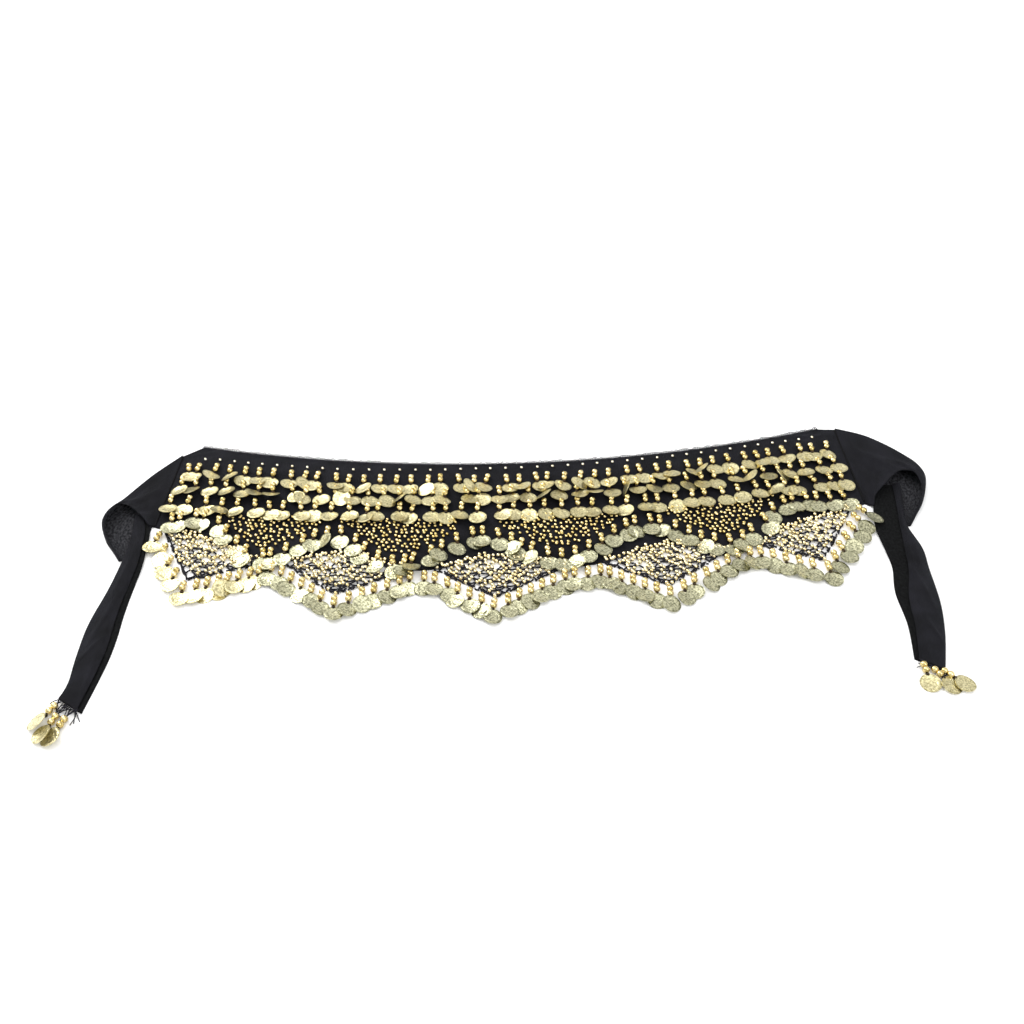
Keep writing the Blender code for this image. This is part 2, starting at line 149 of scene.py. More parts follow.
# The panel is one piece of fine black cloth with a curved top edge, lying flat. It is deeper between
# the nets. Along its hem and round the rows of strands the stitching draws it into soft shallow waves.
MM = 0.001
LAYOUT_MOVE = -4.8
PANEL_MID = (-9.0, 153.0 + LAYOUT_MOVE)
ARC_RADIUS = 1374.0
LAY_TURN = math.radians(2.7)
LEAN_SHARE = 0.10
LEFT_END = -369.0
RIGHT_END = 372.0
LEFT_CORNER = -350.0
RIGHT_CORNER = 352.0
LEFT_CORNER_FALL = 1.0
RIGHT_CORNER_FALL = 0.35
DEPTH_AT_NET = 142.0
DEPTH_WAVE = 18.0
DEPTH_AT_ENDS = 132.0
NET_MIDDLES = (-316.0, -170.0, -19.0, 148.0, 307.0)
CLOTH_TOP = 1.2
CLOTH_THICK = 0.8
PANEL_CUT = (0.741, 0.165)
PANEL_COLUMNS = 300
PANEL_ROWS = 66
# The stitching's waves: their height, their length along and down the cloth, and how they wander
PUCKER = 0.12
PUCKER_ALONG = 5.3
PUCKER_DOWN = 7.5
PUCKER_WANDER = 0.8
PUCKER_WANDER_DOWN = 9.0
# Soft folds of the panel: place along, depth, half length, half width, turn in degrees, height
PANEL_FOLDS = (
    (-172, 132, 34, 3.2, 5, 1.3),
    (-150, 126, 22, 2.6, -14, 1),
    (-30, 131, 38, 3, 3, 1.2),
    (-8, 136, 26, 2.6, -6, 0.9),
    (133, 128, 36, 3.2, 7, 1.4),
    (160, 134, 24, 2.6, -9, 1),
    (300, 124, 30, 3, 10, 1),
    (-318, 122, 30, 3, -8, 1.3),
    (-300, 128, 18, 2.4, 16, 0.9),
    (331, 7, 24, 2.2, 12, 0.9),
    (345, 13, 16, 2, -20, 0.7),
    (-343, 9, 18, 2.2, -24, 0.8),
)
FOLD_REACH = 2.5
FOLD_SWAY = 0.12
FOLD_SWAY_TURNS = 2.2


def between_nets(along):
    for left, right in zip(NET_MIDDLES, NET_MIDDLES[1:]):
        if left < along < right:
            return 0.5 - 0.5 * math.cos(2 * math.pi * (along - left) / (right - left))
    return 0.0


def cloth_depth(along):
    end_share = min(1.0, (along / RIGHT_END) ** 4)
    return DEPTH_AT_NET + DEPTH_WAVE * between_nets(along) - (DEPTH_AT_NET - DEPTH_AT_ENDS) * end_share


def top_depth(along):
    left = max(0.0, LEFT_CORNER - along) * LEFT_CORNER_FALL
    right = max(0.0, along - RIGHT_CORNER) * RIGHT_CORNER_FALL
    return left + right


def laid(along, depth):
    """Where a point of the panel lies on the table in mm, from its place along the top edge and its depth."""
    angle = along / ARC_RADIUS
    chord = ARC_RADIUS * math.sin(angle)
    rise = ARC_RADIUS * (1 - math.cos(angle))
    x = PANEL_MID[0] + chord * math.cos(LAY_TURN) - rise * math.sin(LAY_TURN)
    y = PANEL_MID[1] + chord * math.sin(LAY_TURN) + rise * math.cos(LAY_TURN)
    lean = LEAN_SHARE * angle
    return np.array((x + depth * math.sin(lean), y - depth * math.cos(lean)))


def fold_height(folds, x, y):
    """The height that soft folds add at a point. One of a height below 0 is a trough."""
    total = 0.0
    for middle_x, middle_y, half_length, half_width, turn, height in folds:
        if abs(x - middle_x) + abs(y - middle_y) > FOLD_REACH * (half_length + half_width):
            continue
        slant = math.radians(turn)
        run = (x - middle_x) * math.cos(slant) + (y - middle_y) * math.sin(slant)
        across = -(x - middle_x) * math.sin(slant) + (y - middle_y) * math.cos(slant)
        bend = across - FOLD_SWAY * half_width * math.sin(FOLD_SWAY_TURNS * run / half_length)
        total += height * math.exp(-((run / half_length) ** 2) - (bend / half_width) ** 2)
    return total


def new_group(name, kind, inputs, outputs):
    """A new group of nodes with its sockets, and what its input node gives."""
    group = bpy.data.node_groups.new(name, kind)
    for way, sockets in (("INPUT", inputs), ("OUTPUT", outputs)):
        for socket, socket_kind in sockets.items():
            group.interface.new_socket(socket, in_out=way, socket_type=f"NodeSocket{socket_kind}")
    return group, add_node(group, "NodeGroupInput").outputs


def maths(tree, operation, *values):
    """What a maths node makes of numbers or other nodes' outputs."""
    return add_node(tree, "ShaderNodeMath", dict(enumerate(values)), operation=operation).outputs[0]


def noise_group(name, fine, coarse):
    """A shader group: a fine even noise and a coarse one over a surface, from Object or UV places."""
    outputs = {"Fine": "Float", "Coarse": "Float"}
    group, given = new_group(name, "ShaderNodeTree", {"Place": "Vector"}, outputs)
    noises = [
        add_node(group, "ShaderNodeTexNoise", {"Scale": scale, "Detail": detail, "Vector": given["Place"]})
        for scale, detail in ((fine, 2.0), (coarse, 4.0))
    ]
    add_node(group, "NodeGroupOutput", {"Fine": noises[0].outputs["Fac"], "Coarse": noises[1].outputs["Fac"]})
    return group


def weave_group():
    """A shader group: the height of a plain weave, over and under, of that many threads to the metre."""
    sockets = {"Place": "Vector", "Threads": "Float"}
    group, given = new_group("plain weave", "ShaderNodeTree", sockets, {"Height": "Float"})
    scaled = {0: given["Place"], "Scale": given["Threads"]}
    spread = add_node(group, "ShaderNodeVectorMath", scaled, operation="SCALE")
    apart = add_node(group, "ShaderNodeSeparateXYZ", {0: spread.outputs[0]})
    waves = [maths(group, "SINE", maths(group, "MULTIPLY", apart.outputs[axis], math.pi)) for axis in "XY"]
    add_node(group, "NodeGroupOutput", {"Height": maths(group, "MULTIPLY", *waves)})
    return group


SURFACE_NOISE = noise_group("surface noise", 2600.0, 38.0)
ROUGH_NOISE = noise_group("rough side noise", 900.0, 350.0)
PLAIN_WEAVE = weave_group()


def toned_finish(name, space, noise, tones, inputs):
    """A material whose colour wanders between two tones with the coarse noise of a group."""
    finish = new_finish(name, inputs)
    tree = finish.node_tree
    place = add_node(tree, "ShaderNodeTexCoord").outputs[space]
    rough = add_node(tree, "ShaderNodeGroup", {"Place": place}, node_tree=noise, name="noise")
    tone = add_node(tree, "ShaderNodeValToRGB", {"Fac": rough.outputs["Coarse"]}, name="tone")
    set_ramp(tone, tones)
    set_inputs(tree, tree.nodes["Principled BSDF"], {"Base Color": tone.outputs["Color"]})
    return finish


def add_relief(finish, height, strength, distance):
    """Raises and sinks the surface of a material by a height, another node's output."""
    tree = finish.node_tree
    relief = add_node(tree, "ShaderNodeBump", {"Strength": strength, "Distance": distance, "Height": height})
    set_inputs(tree, tree.nodes["Principled BSDF"], {"Normal": relief.outputs["Normal"]})


def cloth_finish(name, dark, light, noise, sheen, bump, threads, roughness):
    """A cloth material: colour that wanders between two tones, a woven bump, and a plain sheen."""
    inputs = {
        "Roughness": roughness,
        "Specular IOR Level": 0.10,
        "Sheen Weight": sheen,
        "Sheen Roughness": 0.45,
        "Sheen Tint": (0.75, 0.8, 1.0, 1.0),
    }
    finish = toned_finish(name, "UV", noise, ((0.35, (*dark, 1.0)), (0.68, (*light, 1.0))), inputs)
    tree = finish.node_tree
    place = add_node(tree, "ShaderNodeTexCoord").outputs["UV"]
    weave = add_node(tree, "ShaderNodeGroup", {"Place": place, "Threads": threads}, node_tree=PLAIN_WEAVE)
    height = maths(tree, "MULTIPLY_ADD", tree.nodes["noise"].outputs["Fine"], 0.6, weave.outputs["Height"])
    add_relief(finish, height, bump, 0.0004)
    return finish


# Cloth on each side: name, dark and light tone, noise, sheen, bump, threads to the metre, roughness
CLOTH_LOOKS = (
    ("black cloth", (0.0026, 0.0026, 0.0035), (0.0085, 0.0083, 0.0115), SURFACE_NOISE, 0.03, 0.6, 2400, 0.75),
    ("wrong side of the cloth", (0.0003, 0.0003, 0.0005), (0.06, 0.06, 0.066),
     ROUGH_NOISE, 0.03, 1.0, 1300, 0.9),
    # The tails' wrong side is a darker copy of the rough wrong side: painted shade for where it lies turned
    # under in their folds
    ("smooth shaded wrong side", (0.0008, 0.0009, 0.001), (0.007, 0.0075, 0.008), ROUGH_NOISE, 0.0, 0.6, 1300, 0.9),
)
black_cloth, wrong_side, smooth_shaded_wrong_side = (cloth_finish(*look) for look in CLOTH_LOOKS)


def cloth_sheet(name, lines, cut, back=wrong_side):
    """A thin cloth shell through a grid of points in mm, whose UV map is its cut in metres."""
    mesh = bpy.data.meshes.new(name)
    wide = len(lines[0])
    points = [tuple(np.asarray(point) * MM) for line in lines for point in line]
    quads = [
        (row * wide + k, row * wide + k + 1, (row + 1) * wide + k + 1, (row + 1) * wide + k)
        for row in range(len(lines) - 1)
        for k in range(wide - 1)
    ]
    mesh.from_pydata(points, [], quads)
    mesh.shade_smooth()
    layer = mesh.uv_layers.new(name="cut")
    grid = np.array(lines, float)
    shares = []
    for way in (0, 1):
        steps = np.linalg.norm(np.diff(grid, axis=way), axis=2).mean(axis=1 - way)
        shares.append(np.concatenate([[0], np.cumsum(steps)]) / steps.sum())
    for loop in mesh.loops:
        row, k = divmod(loop.vertex_index, wide)
        layer.data[loop.index].uv = (shares[0][row] * cut[0], shares[1][k] * cut[1])
    mesh.materials.append(black_cloth)
    mesh.materials.append(back)
    made = linked(name, mesh)
    wall = made.modifiers.new("wall", "SOLIDIFY")
    wall.thickness = CLOTH_THICK * MM
    wall.offset = 0.0
    wall.use_even_offset = False
    wall.material_offset = 1
    wall.material_offset_rim = 0
    return made


def pucker(along, depth):
    """The shallow waves that the stitching draws the panel into."""
    wander = PUCKER_WANDER * math.sin(depth / PUCKER_WANDER_DOWN)
    return PUCKER * math.sin(along / PUCKER_ALONG + wander) * math.sin(depth / PUCKER_DOWN)


panel_lines = []
for column in range(PANEL_COLUMNS + 1):
    along = LEFT_END + (RIGHT_END - LEFT_END) * column / PANEL_COLUMNS
    top, bottom = top_depth(along), cloth_depth(along)
    line = []
    for row in range(PANEL_ROWS + 1):
        depth = top + (bottom - top) * row / PANEL_ROWS
        height = CLOTH_TOP - CLOTH_THICK / 2 + pucker(along, depth) + fold_height(PANEL_FOLDS, along, depth)
        line.append((*laid(along, depth), max(CLOTH_THICK / 2, height)))
    panel_lines.append(line)
panel = cloth_sheet("scarf_panel", panel_lines, PANEL_CUT)
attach(panel, "root")
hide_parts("panel")


# Each tie is a band of the same cloth, sewn to the end of the panel. Its top edge is rolled over and
# folded back under, so that its front lip stands open like a mouth and shows the rough wrong side.
BAND_COLUMNS = ("roll_x", "roll_y", "height", "lip_x", "lip_y", "lip_z", "under_x", "under_y")
LEFT_BAND = (
    (-395, 133, 7, -384.5, 53, 4.2, -384, 118),
    (-405, 113, 9.5, -391, 60, 8, -384, 98),
    (-416.5, 89, 12, -402, 69, 11.5, -383, 75),
    (-428, 69, 13, -416.5, 76, 12.5, -382, 55),
    (-431, 53, 12, -427, 56, 11.5, -382, 39),
    (-423, 33, 9, -421, 34, 9, -383, 25),
    (-411.5, 17, 6, -409.8, 17.6, 6, -386, 15),
    (-402, 4, 3.6, -400, 5, 3.6, -394, 6),
)
RIGHT_BAND = (
    (382, 197, 6.5, 366.5, 84, 3.2, 368, 167),
    (400, 179, 9.5, 371, 96, 7, 367, 137),
    (415, 160, 12, 384, 110, 11, 367, 113),
    (427, 142, 13.5, 401, 126, 13.5, 369, 92),
    (431, 124, 13.5, 418, 125, 13.5, 371, 79),
    (426, 105, 12, 421, 104, 12, 374, 69),
    (417.5, 85, 9, 413.5, 84, 9, 378, 63),
    (407, 69, 6, 404.5, 69, 6, 383, 59),
    (398, 55, 3.6, 395.5, 55, 3.6, 388, 55),
)
BAND_STATIONS = 110
BAND_ACROSS = 90
BAND_START_HEIGHT = 2.2
BAND_FOLD_UNDER = 8.0
ROLL_RADIUS = 4.5
REST = 0.6
SEAM_GAP = 0.3
# The share of a band's line that is its upper layer, and the stations over which its creases set in
BAND_UPPER_SHARE = 0.55
BAND_CREASE_START = 12
LEFT_BAND_CUT, LEFT_BAND_AREA = (0.135, 0.130), 0.0092
RIGHT_BAND_CUT, RIGHT_BAND_AREA = (0.155, 0.150), 0.0148
# Creases of the upper layer: x and y of the middle, half length, half width, turn in degrees, height
LEFT_BAND_FOLDS = (
    (-396, 92, 30, 3.5, 52, 1.2),
    (-391, 72, 24, 3, 35, -1),
    (-402, 100, 26, 3, 66, -0.9),
    (-386, 108, 26, 3.2, 78, 0.8),
    (-412, 80, 16, 3, 20, 0.9),
)
RIGHT_BAND_FOLDS = (
    (388, 150, 34, 3.6, -52, 1.3),
    (380, 130, 30, 3.2, -66, -1),
    (402, 145, 26, 3.4, -38, 1.1),
    (371, 168, 26, 3, -80, 0.9),
    (398, 124, 18, 3, -25, -0.8),
    (415, 132, 15, 3, -60, 0.9),
)


def through(values, place):
    """A smooth curve through evenly numbered values, read at a place counted in those numbers."""
    values = np.asarray(values, float)
    last = len(values) - 1
    whole = min(int(place), last - 1)
    part = place - whole
    before, start, end, after = (values[min(max(whole + step, 0), last)] for step in (-1, 0, 1, 2))
    out_slope = (end - before) / 2
    in_slope = (after - start) / 2
    return (
        (2 * part**3 - 3 * part**2 + 1) * start
        + (part**3 - 2 * part**2 + part) * out_slope
        + (3 * part**2 - 2 * part**3) * end
        + (part**3 - part**2) * in_slope
    )


def band_profile(roll, height, lip, under):
    """The line of the cloth across a band at one station: lip, over the roll, and back under."""
    inward = lip[:2] - roll
    inward = inward / max(np.linalg.norm(inward), 1e-6)
    radius = min(ROLL_RADIUS, 0.6 * np.linalg.norm(lip[:2] - roll))
    middle_height = (height + REST) / 2
    turn = []
    for angle in np.radians((90, 45, 0, -45, -90)):
        place = roll + inward * radius * (1 - math.cos(angle))
        turn.append((*place, middle_height + (height - REST) / 2 * math.sin(angle)))
    crest, floor = np.array(turn[0]), np.array(turn[-1])
    return [lip, (lip + crest) / 2, *turn, (*(floor[:2] + under) / 2, REST), (*under, REST)]


def creased_line(profile, count, folds, strength):
    """A tie's points across one station, evenly along its profile, with the creases of its upper layer."""
    line = []
    for share in (step / count for step in range(count + 1)):
        x, y, height = through(profile, (len(profile) - 1) * share)
        rise = fold_height(folds, x, y - LAYOUT_MOVE) * strength(share)
        line.append((x, y, max(CLOTH_THICK / 2, height + rise)))
    return line


def tie_band(name, node, rows, end, folds, cut, area):
    """One band, from its seam at an end of the panel through the stations of its table."""
    outward = math.copysign(SEAM_GAP, end)
    front = laid(end + outward, cloth_depth(end))
    back = laid(end + outward, top_depth(end))
    fold = laid(end + 3 * outward, top_depth(end) + BAND_FOLD_UNDER)
    move = np.array([LAYOUT_MOVE if column.endswith("_y") else 0.0 for column in BAND_COLUMNS])
    seam = (*back, BAND_START_HEIGHT, *front, REST, *fold)
    table = np.array([seam, *(np.array(row) + move for row in rows)])
    lines = []
    for station in range(BAND_STATIONS + 1):
        row = dict(zip(BAND_COLUMNS, through(table, len(rows) * station / BAND_STATIONS)))
        roll = np.array((row["roll_x"], row["roll_y"]))
        lip = np.array((row["lip_x"], row["lip_y"], max(REST, row["lip_z"])))
        under = np.array((row["under_x"], row["under_y"]))
        profile = band_profile(roll, row["height"], lip, under)
        start = min(1.0, station / BAND_CREASE_START)

        def strength(share):
            return start * min(1.0, 2 * max(0.0, 1 - share / BAND_UPPER_SHARE))

        lines.append(creased_line(profile, BAND_ACROSS, folds, strength))
    if end > 0:
        lines = [list(reversed(line)) for line in lines]
    band = cloth_sheet(name, lines, cut)
    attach(band, "root")
    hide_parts(node)


LEFT_BAND_SIZE = (LEFT_BAND_CUT, LEFT_BAND_AREA)
RIGHT_BAND_SIZE = (RIGHT_BAND_CUT, RIGHT_BAND_AREA)
tie_band("tie_band_left", "tie_left_band", LEFT_BAND, LEFT_END, LEFT_BAND_FOLDS, *LEFT_BAND_SIZE)
tie_band("tie_band_right", "tie_right_band", RIGHT_BAND, RIGHT_END, RIGHT_BAND_FOLDS, *RIGHT_BAND_SIZE)


# The narrow tail of each tie comes out of the mouth of its band and lies straight towards the viewer.
# It is folded lengthwise, the upper layer smooth, with a few long creases and puckers.
TAIL_COLUMNS = ("outer_x", "outer_y", "inner_x", "inner_y", "cover", "base", "puff")
LEFT_TAIL = (
    (-402, 67, -390, 68, 0.66, 1.5, 0),
    (-398.5, 43, -381.5, 45, 0.72, 1.5, 1.2),
    (-397, 17, -378.5, 19, 0.75, 1.5, 2),
    (-397.5, -3, -376.5, -5, 0.76, 1.5, 1.2),
    (-401, -37, -377.5, -35, 0.75, 0, 2.2),
    (-406.5, -80, -377.5, -65, 0.79, 0, 1.6),
    (-406, -117, -376, -98, 0.80, 0, 2.4),
    (-404, -147, -377, -128, 0.78, 0, 1.4),
    (-407, -164, -383, -179, 0.80, 0, 0.8),
)
RIGHT_TAIL = (
    (403, 117, 376, 117, 0.30, 1.5, 0.8),
    (400, 97, 371, 97, 0.25, 1.5, 0.8),
    (396, 77, 366, 81, 0.20, 1.5, 1),
    (393, 53, 360.5, 51, 0.22, 1.5, 1.2),
    (399, 20, 362, 17, 0.48, 1.5, 2.2),
    (398, -7, 363, -5, 0.56, 0, 2.6),
    (395.5, -50, 357, -38, 0.70, 0, 2.2),
    (388, -90, 357.5, -78, 0.80, 0, 1.8),
    (375, -133, 352, -119, 0.84, 0, 0.8),
)
TAIL_STATIONS = 160
TAIL_ACROSS = 48
TAIL_FOLD = 2.6
TAIL_LAYER_GAP = 1.3
LEFT_TAIL_CUT, LEFT_TAIL_AREA = (0.250, 0.062), 0.0112
RIGHT_TAIL_CUT, RIGHT_TAIL_AREA = (0.255, 0.066), 0.0137
# The share of a tail's line where its upper layer starts, and how fast its creases set in after that
TAIL_UPPER_SHARE = 0.35
TAIL_CREASE_START = 6
# Creases of the tails: x and y of the middle, half length, half width, turn in degrees, height
LEFT_TAIL_FOLDS = (
    (-391, -12, 24, 2.2, 84, 0.9),
    (-384, -30, 20, 1.8, 96, -0.8),
    (-393, -70, 34, 2.4, 80, 1),
    (-385, -92, 22, 1.8, 97, -0.8),
    (-396, -112, 18, 2, 62, 0.7),
    (-388, -140, 20, 2, 88, 0.9),
)
RIGHT_TAIL_FOLDS = (
    (376, 30, 28, 2.4, 92, 1),
    (388, 8, 26, 2.2, 84, -0.8),
    (384, -30, 30, 2.6, 96, 1.1),
    (374, -58, 24, 2, 86, -0.7),
    (380, -92, 22, 2.2, 104, 0.9),
    (366, -112, 16, 2, 84, 0.7),
)


def tail_strength(share):
    return min(1.0, max(0.0, share - TAIL_UPPER_SHARE) * TAIL_CREASE_START)


def tie_tail(name, node, rows, folds, cut):
    """One tail, folded lengthwise, through the stations of its table."""
    lines = []
    for station in range(TAIL_STATIONS + 1):
        row = dict(zip(TAIL_COLUMNS, through(rows, (len(rows) - 1) * station / TAIL_STATIONS)))
        outer = np.array((row["outer_x"], row["outer_y"] + LAYOUT_MOVE))
        across = np.array((row["inner_x"], row["inner_y"] + LAYOUT_MOVE)) - outer
        floor = REST + max(0.0, row["base"])
        top = floor + TAIL_FOLD
        turn = TAIL_FOLD / 2 / np.linalg.norm(across)
        profile = [(*(outer + across * share), floor) for share in (1.0, 0.5, turn)]
        profile.append((*outer, (floor + top) / 2))
        for share in np.linspace(0, 1, 5):
            reach = turn + (row["cover"] - turn) * share
            sink = (TAIL_FOLD - TAIL_LAYER_GAP) * share
            puff = row["puff"] * math.sin(math.pi * share)
            profile.append((*(outer + across * reach), top - sink + puff))
        lines.append(creased_line(profile, TAIL_ACROSS, folds, tail_strength))
    if rows[0][0] < rows[0][2]:
        lines = [list(reversed(line)) for line in lines]
    # The tails' wrong side is painted darker than the bands', as shade
    tail = cloth_sheet(name, lines, cut, back=smooth_shaded_wrong_side)
    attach(tail, "root")
    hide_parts(node)


tie_tail("tie_tail_left", "tie_left_tail", LEFT_TAIL, LEFT_TAIL_FOLDS, LEFT_TAIL_CUT)
tie_tail(
    "tie_tail_right", "tie_right_tail", RIGHT_TAIL, RIGHT_TAIL_FOLDS, RIGHT_TAIL_CUT
)


# A strand is two round gold beads on black thread, a knot, and a thin stamped coin below it. Four rows
# of strands are sewn to the panel, and the coins of each row rest on the beads of the next.
BEAD = 6.7
BEAD_STEP = 6.0
KNOT_PLACE = 13.9
COIN_HINGE = 15.2
COIN = 18.8
COIN_THICK = 0.5
COIN_HOLE_INSET = 1.4
COIN_RIM = 0.86
COIN_BEND = 0.9
BEAD_DEEP_GOLD = (0.48, 0.36, 0.12, 1.0)
BEAD_PALE_GOLD = (0.86, 0.72, 0.38, 1.0)
COIN_TONES = ((0.30, (0.37, 0.325, 0.155, 1.0)), (0.68, (0.91, 0.83, 0.50, 1.0)))
# Darker tones for a shaded copy of the coin metal: painted shade for the coins that lie in less light, in the
# lowest row on the cloth and in all fringes but the leftmost
SHADED_COIN_TONES = ((0.30, (0.13, 0.13, 0.07, 1.0)), (0.70, (0.76, 0.74, 0.50, 1.0)))
# Kinds of coin: how far each is bent along itself and across itself
COIN_BENDS = (("Coin", 0.1, 0.0), ("Long-bent coin", COIN_BEND, 0.0), ("Cross-bent coin", -0.2, COIN_BEND))
COIN_SIDES = 24
# The profile of a coin from its lower edge to its field: share of the radius, share of the thickness
COIN_RINGS = ((1.0, -0.5), (1.0, 0.42), (0.95, 0.5), (COIN_RIM, 0.5), (COIN_RIM - 0.05, 0.25))
KNOT = 4.2
KNOT_SQUASH = 0.85
KNOT_HEIGHT = 2.2
COIN_ABOVE_KNOT = 0.3
TILTED_COIN_SHARE = 0.8


def small_item(name, bm):
    """An object made of a small mesh, smooth but for its sharp edges."""
    mesh = bpy.data.meshes.new(name)
    bm.to_mesh(mesh)
    bm.free()
    mesh.shade_smooth()
    mesh.set_sharp_from_angle(angle=math.radians(50))
    return linked(name, mesh)


def thin_coin(name, radius, thick, bend_along, bend_across):
    """A thin coin in the XY plane, bent a little either way, its UV map from -1 to 1 across its face."""
    bm = bmesh.new()
    layer = bm.loops.layers.uv.new("cut")
    turns = [2 * math.pi * step / COIN_SIDES for step in range(COIN_SIDES)]
    rings = []
    for share, height in COIN_RINGS:
        reach = radius * share
        rings.append(
            [bm.verts.new((reach * math.cos(turn), reach * math.sin(turn), thick * height)) for turn in turns]
        )
    bm.faces.new(list(reversed(rings[0])))
    bm.faces.new(rings[-1])
    for inner, outer in zip(rings, rings[1:]):
        for step in range(COIN_SIDES):
            after = (step + 1) % COIN_SIDES
            bm.faces.new((inner[step], inner[after], outer[after], outer[step]))
    for face in bm.faces:
        for loop in face.loops:
            loop[layer].uv = (loop.vert.co.x / radius, loop.vert.co.y / radius)
    for vert in bm.verts:
        vert.co.z += bend_along * (vert.co.y / radius) ** 2 + bend_across * (vert.co.x / radius) ** 2
    bmesh.ops.recalc_face_normals(bm, faces=bm.faces)
    return small_item(name, bm)


def round_bead(name, radius, around, down, squash=1.0):
    bm = bmesh.new()
    bmesh.ops.create_uvsphere(bm, u_segments=around, v_segments=down, radius=radius)
    bmesh.ops.scale(bm, vec=(1.0, 1.0, squash), verts=bm.verts)
    return small_item(name, bm)


def stamp_group():
    """A shader group: a coin's stamped relief from its own UV map, a ring of ticks round a plain lattice."""
    group, given = new_group("stamped relief", "ShaderNodeTree", {"Place": "Vector"}, {"Height": "Float"})

    def between(value, low, high, soft):
        """1 where a value lies between two limits and 0 outside them, with soft edges."""
        rise, fall = (
            add_node(
                group,
                "ShaderNodeMapRange",
                {"Value": value, "From Min": limit - soft, "From Max": limit + soft},
                interpolation_type="SMOOTHSTEP",
            ).outputs[0]
            for limit in (low, high)
        )
        return maths(group, "SUBTRACT", rise, fall)

    apart = add_node(group, "ShaderNodeSeparateXYZ", {0: given["Place"]})
    ways = (apart.outputs["X"], apart.outputs["Y"])
    radius = maths(group, "SQRT", maths(group, "ADD", *(maths(group, "MULTIPLY", way, way) for way in ways)))
    angle = maths(group, "ARCTAN2", *reversed(ways))
    ticks = maths(group, "GREATER_THAN", maths(group, "SINE", maths(group, "MULTIPLY", angle, 22.0)), -0.1)
    tick_ring = maths(group, "MULTIPLY", between(radius, 0.62, 0.80, 0.03), ticks)
    waves = [maths(group, "SINE", maths(group, "MULTIPLY", way, 17.0)) for way in ways]
    lattice = maths(group, "GREATER_THAN", maths(group, "MULTIPLY", *waves), 0.1)
    middle = maths(group, "MULTIPLY", lattice, maths(group, "LESS_THAN", radius, 0.50))
    raised = maths(group, "MULTIPLY", maths(group, "MAXIMUM", tick_ring, middle), 0.7)
    # The groove inside the rim sinks the coin's edge, and where the stamp tones the colour it also darkens
    # it: a painted shade for the shadow of overlapping coins
    rim_groove_and_shade = maths(group, "MULTIPLY", between(radius, 0.88, 0.98, 0.02), 0.4)
    add_node(group, "NodeGroupOutput", {"Height": maths(group, "SUBTRACT", raised, rim_groove_and_shade)})
    return group


def metal_finish(name, tones, roughness, noise):
    return toned_finish(name, "Object", noise, tones, {"Metallic": 1.0, "Roughness": roughness})


STAMPED_RELIEF = stamp_group()
BEAD_NOISE = noise_group("bead tones", 2600.0, 150.0)
HAMMERED = noise_group("hammered metal", 2200.0, 460.0)
BEAD_TONES = ((0.35, BEAD_DEEP_GOLD), (0.62, BEAD_PALE_GOLD))
bead_gold = metal_finish("shiny gold bead", BEAD_TONES, 0.14, BEAD_NOISE)
coin_gold = metal_finish("pale stamped coin", COIN_TONES, 0.30, HAMMERED)
coin_tree = coin_gold.node_tree
own_place = add_node(coin_tree, "ShaderNodeUVMap", uv_map="cut").outputs["UV"]
stamped = add_node(coin_tree, "ShaderNodeGroup", {"Place": own_place}, node_tree=STAMPED_RELIEF)
stamp_and_rim_shade = stamped.outputs["Height"]
hammer = coin_tree.nodes["noise"].outputs["Coarse"]
# The stamp also tones the colour: its raised marks lighter, and its rim groove darker, a painted shade at
# each coin's edge
set_inputs(coin_tree, coin_tree.nodes["tone"], {"Fac": maths(coin_tree, "MULTIPLY_ADD", stamp_and_rim_shade, 0.20, hammer)})
add_relief(coin_gold, maths(coin_tree, "MULTIPLY_ADD", stamp_and_rim_shade, 0.45, hammer), 0.9, 0.0007)
# The shaded copy of the coin metal: the same coins, painted darker as shade
shaded_coin_gold = coin_gold.copy()
shaded_coin_gold.name = "dull stamped coin"
set_ramp(shaded_coin_gold.node_tree.nodes["tone"], SHADED_COIN_TONES)


def yarn_finish(name, dark, light, roughness):
    """Yarn, thread or a rolled edge of cloth: two dark tones and a fuzzy surface."""
    tones = ((0.38, (*dark, 1.0)), (0.66, (*light, 1.0)))
    inputs = {"Roughness": roughness, "Specular IOR Level": 0.2}
    finish = toned_finish(name, "Object", ROUGH_NOISE, tones, inputs)
    add_relief(finish, finish.node_tree.nodes["noise"].outputs["Fine"], 1.0, 0.0006)
    return finish


knot_thread = yarn_finish("waxed knot thread", (0.008, 0.005, 0.002), (0.050, 0.028, 0.009), 0.35)


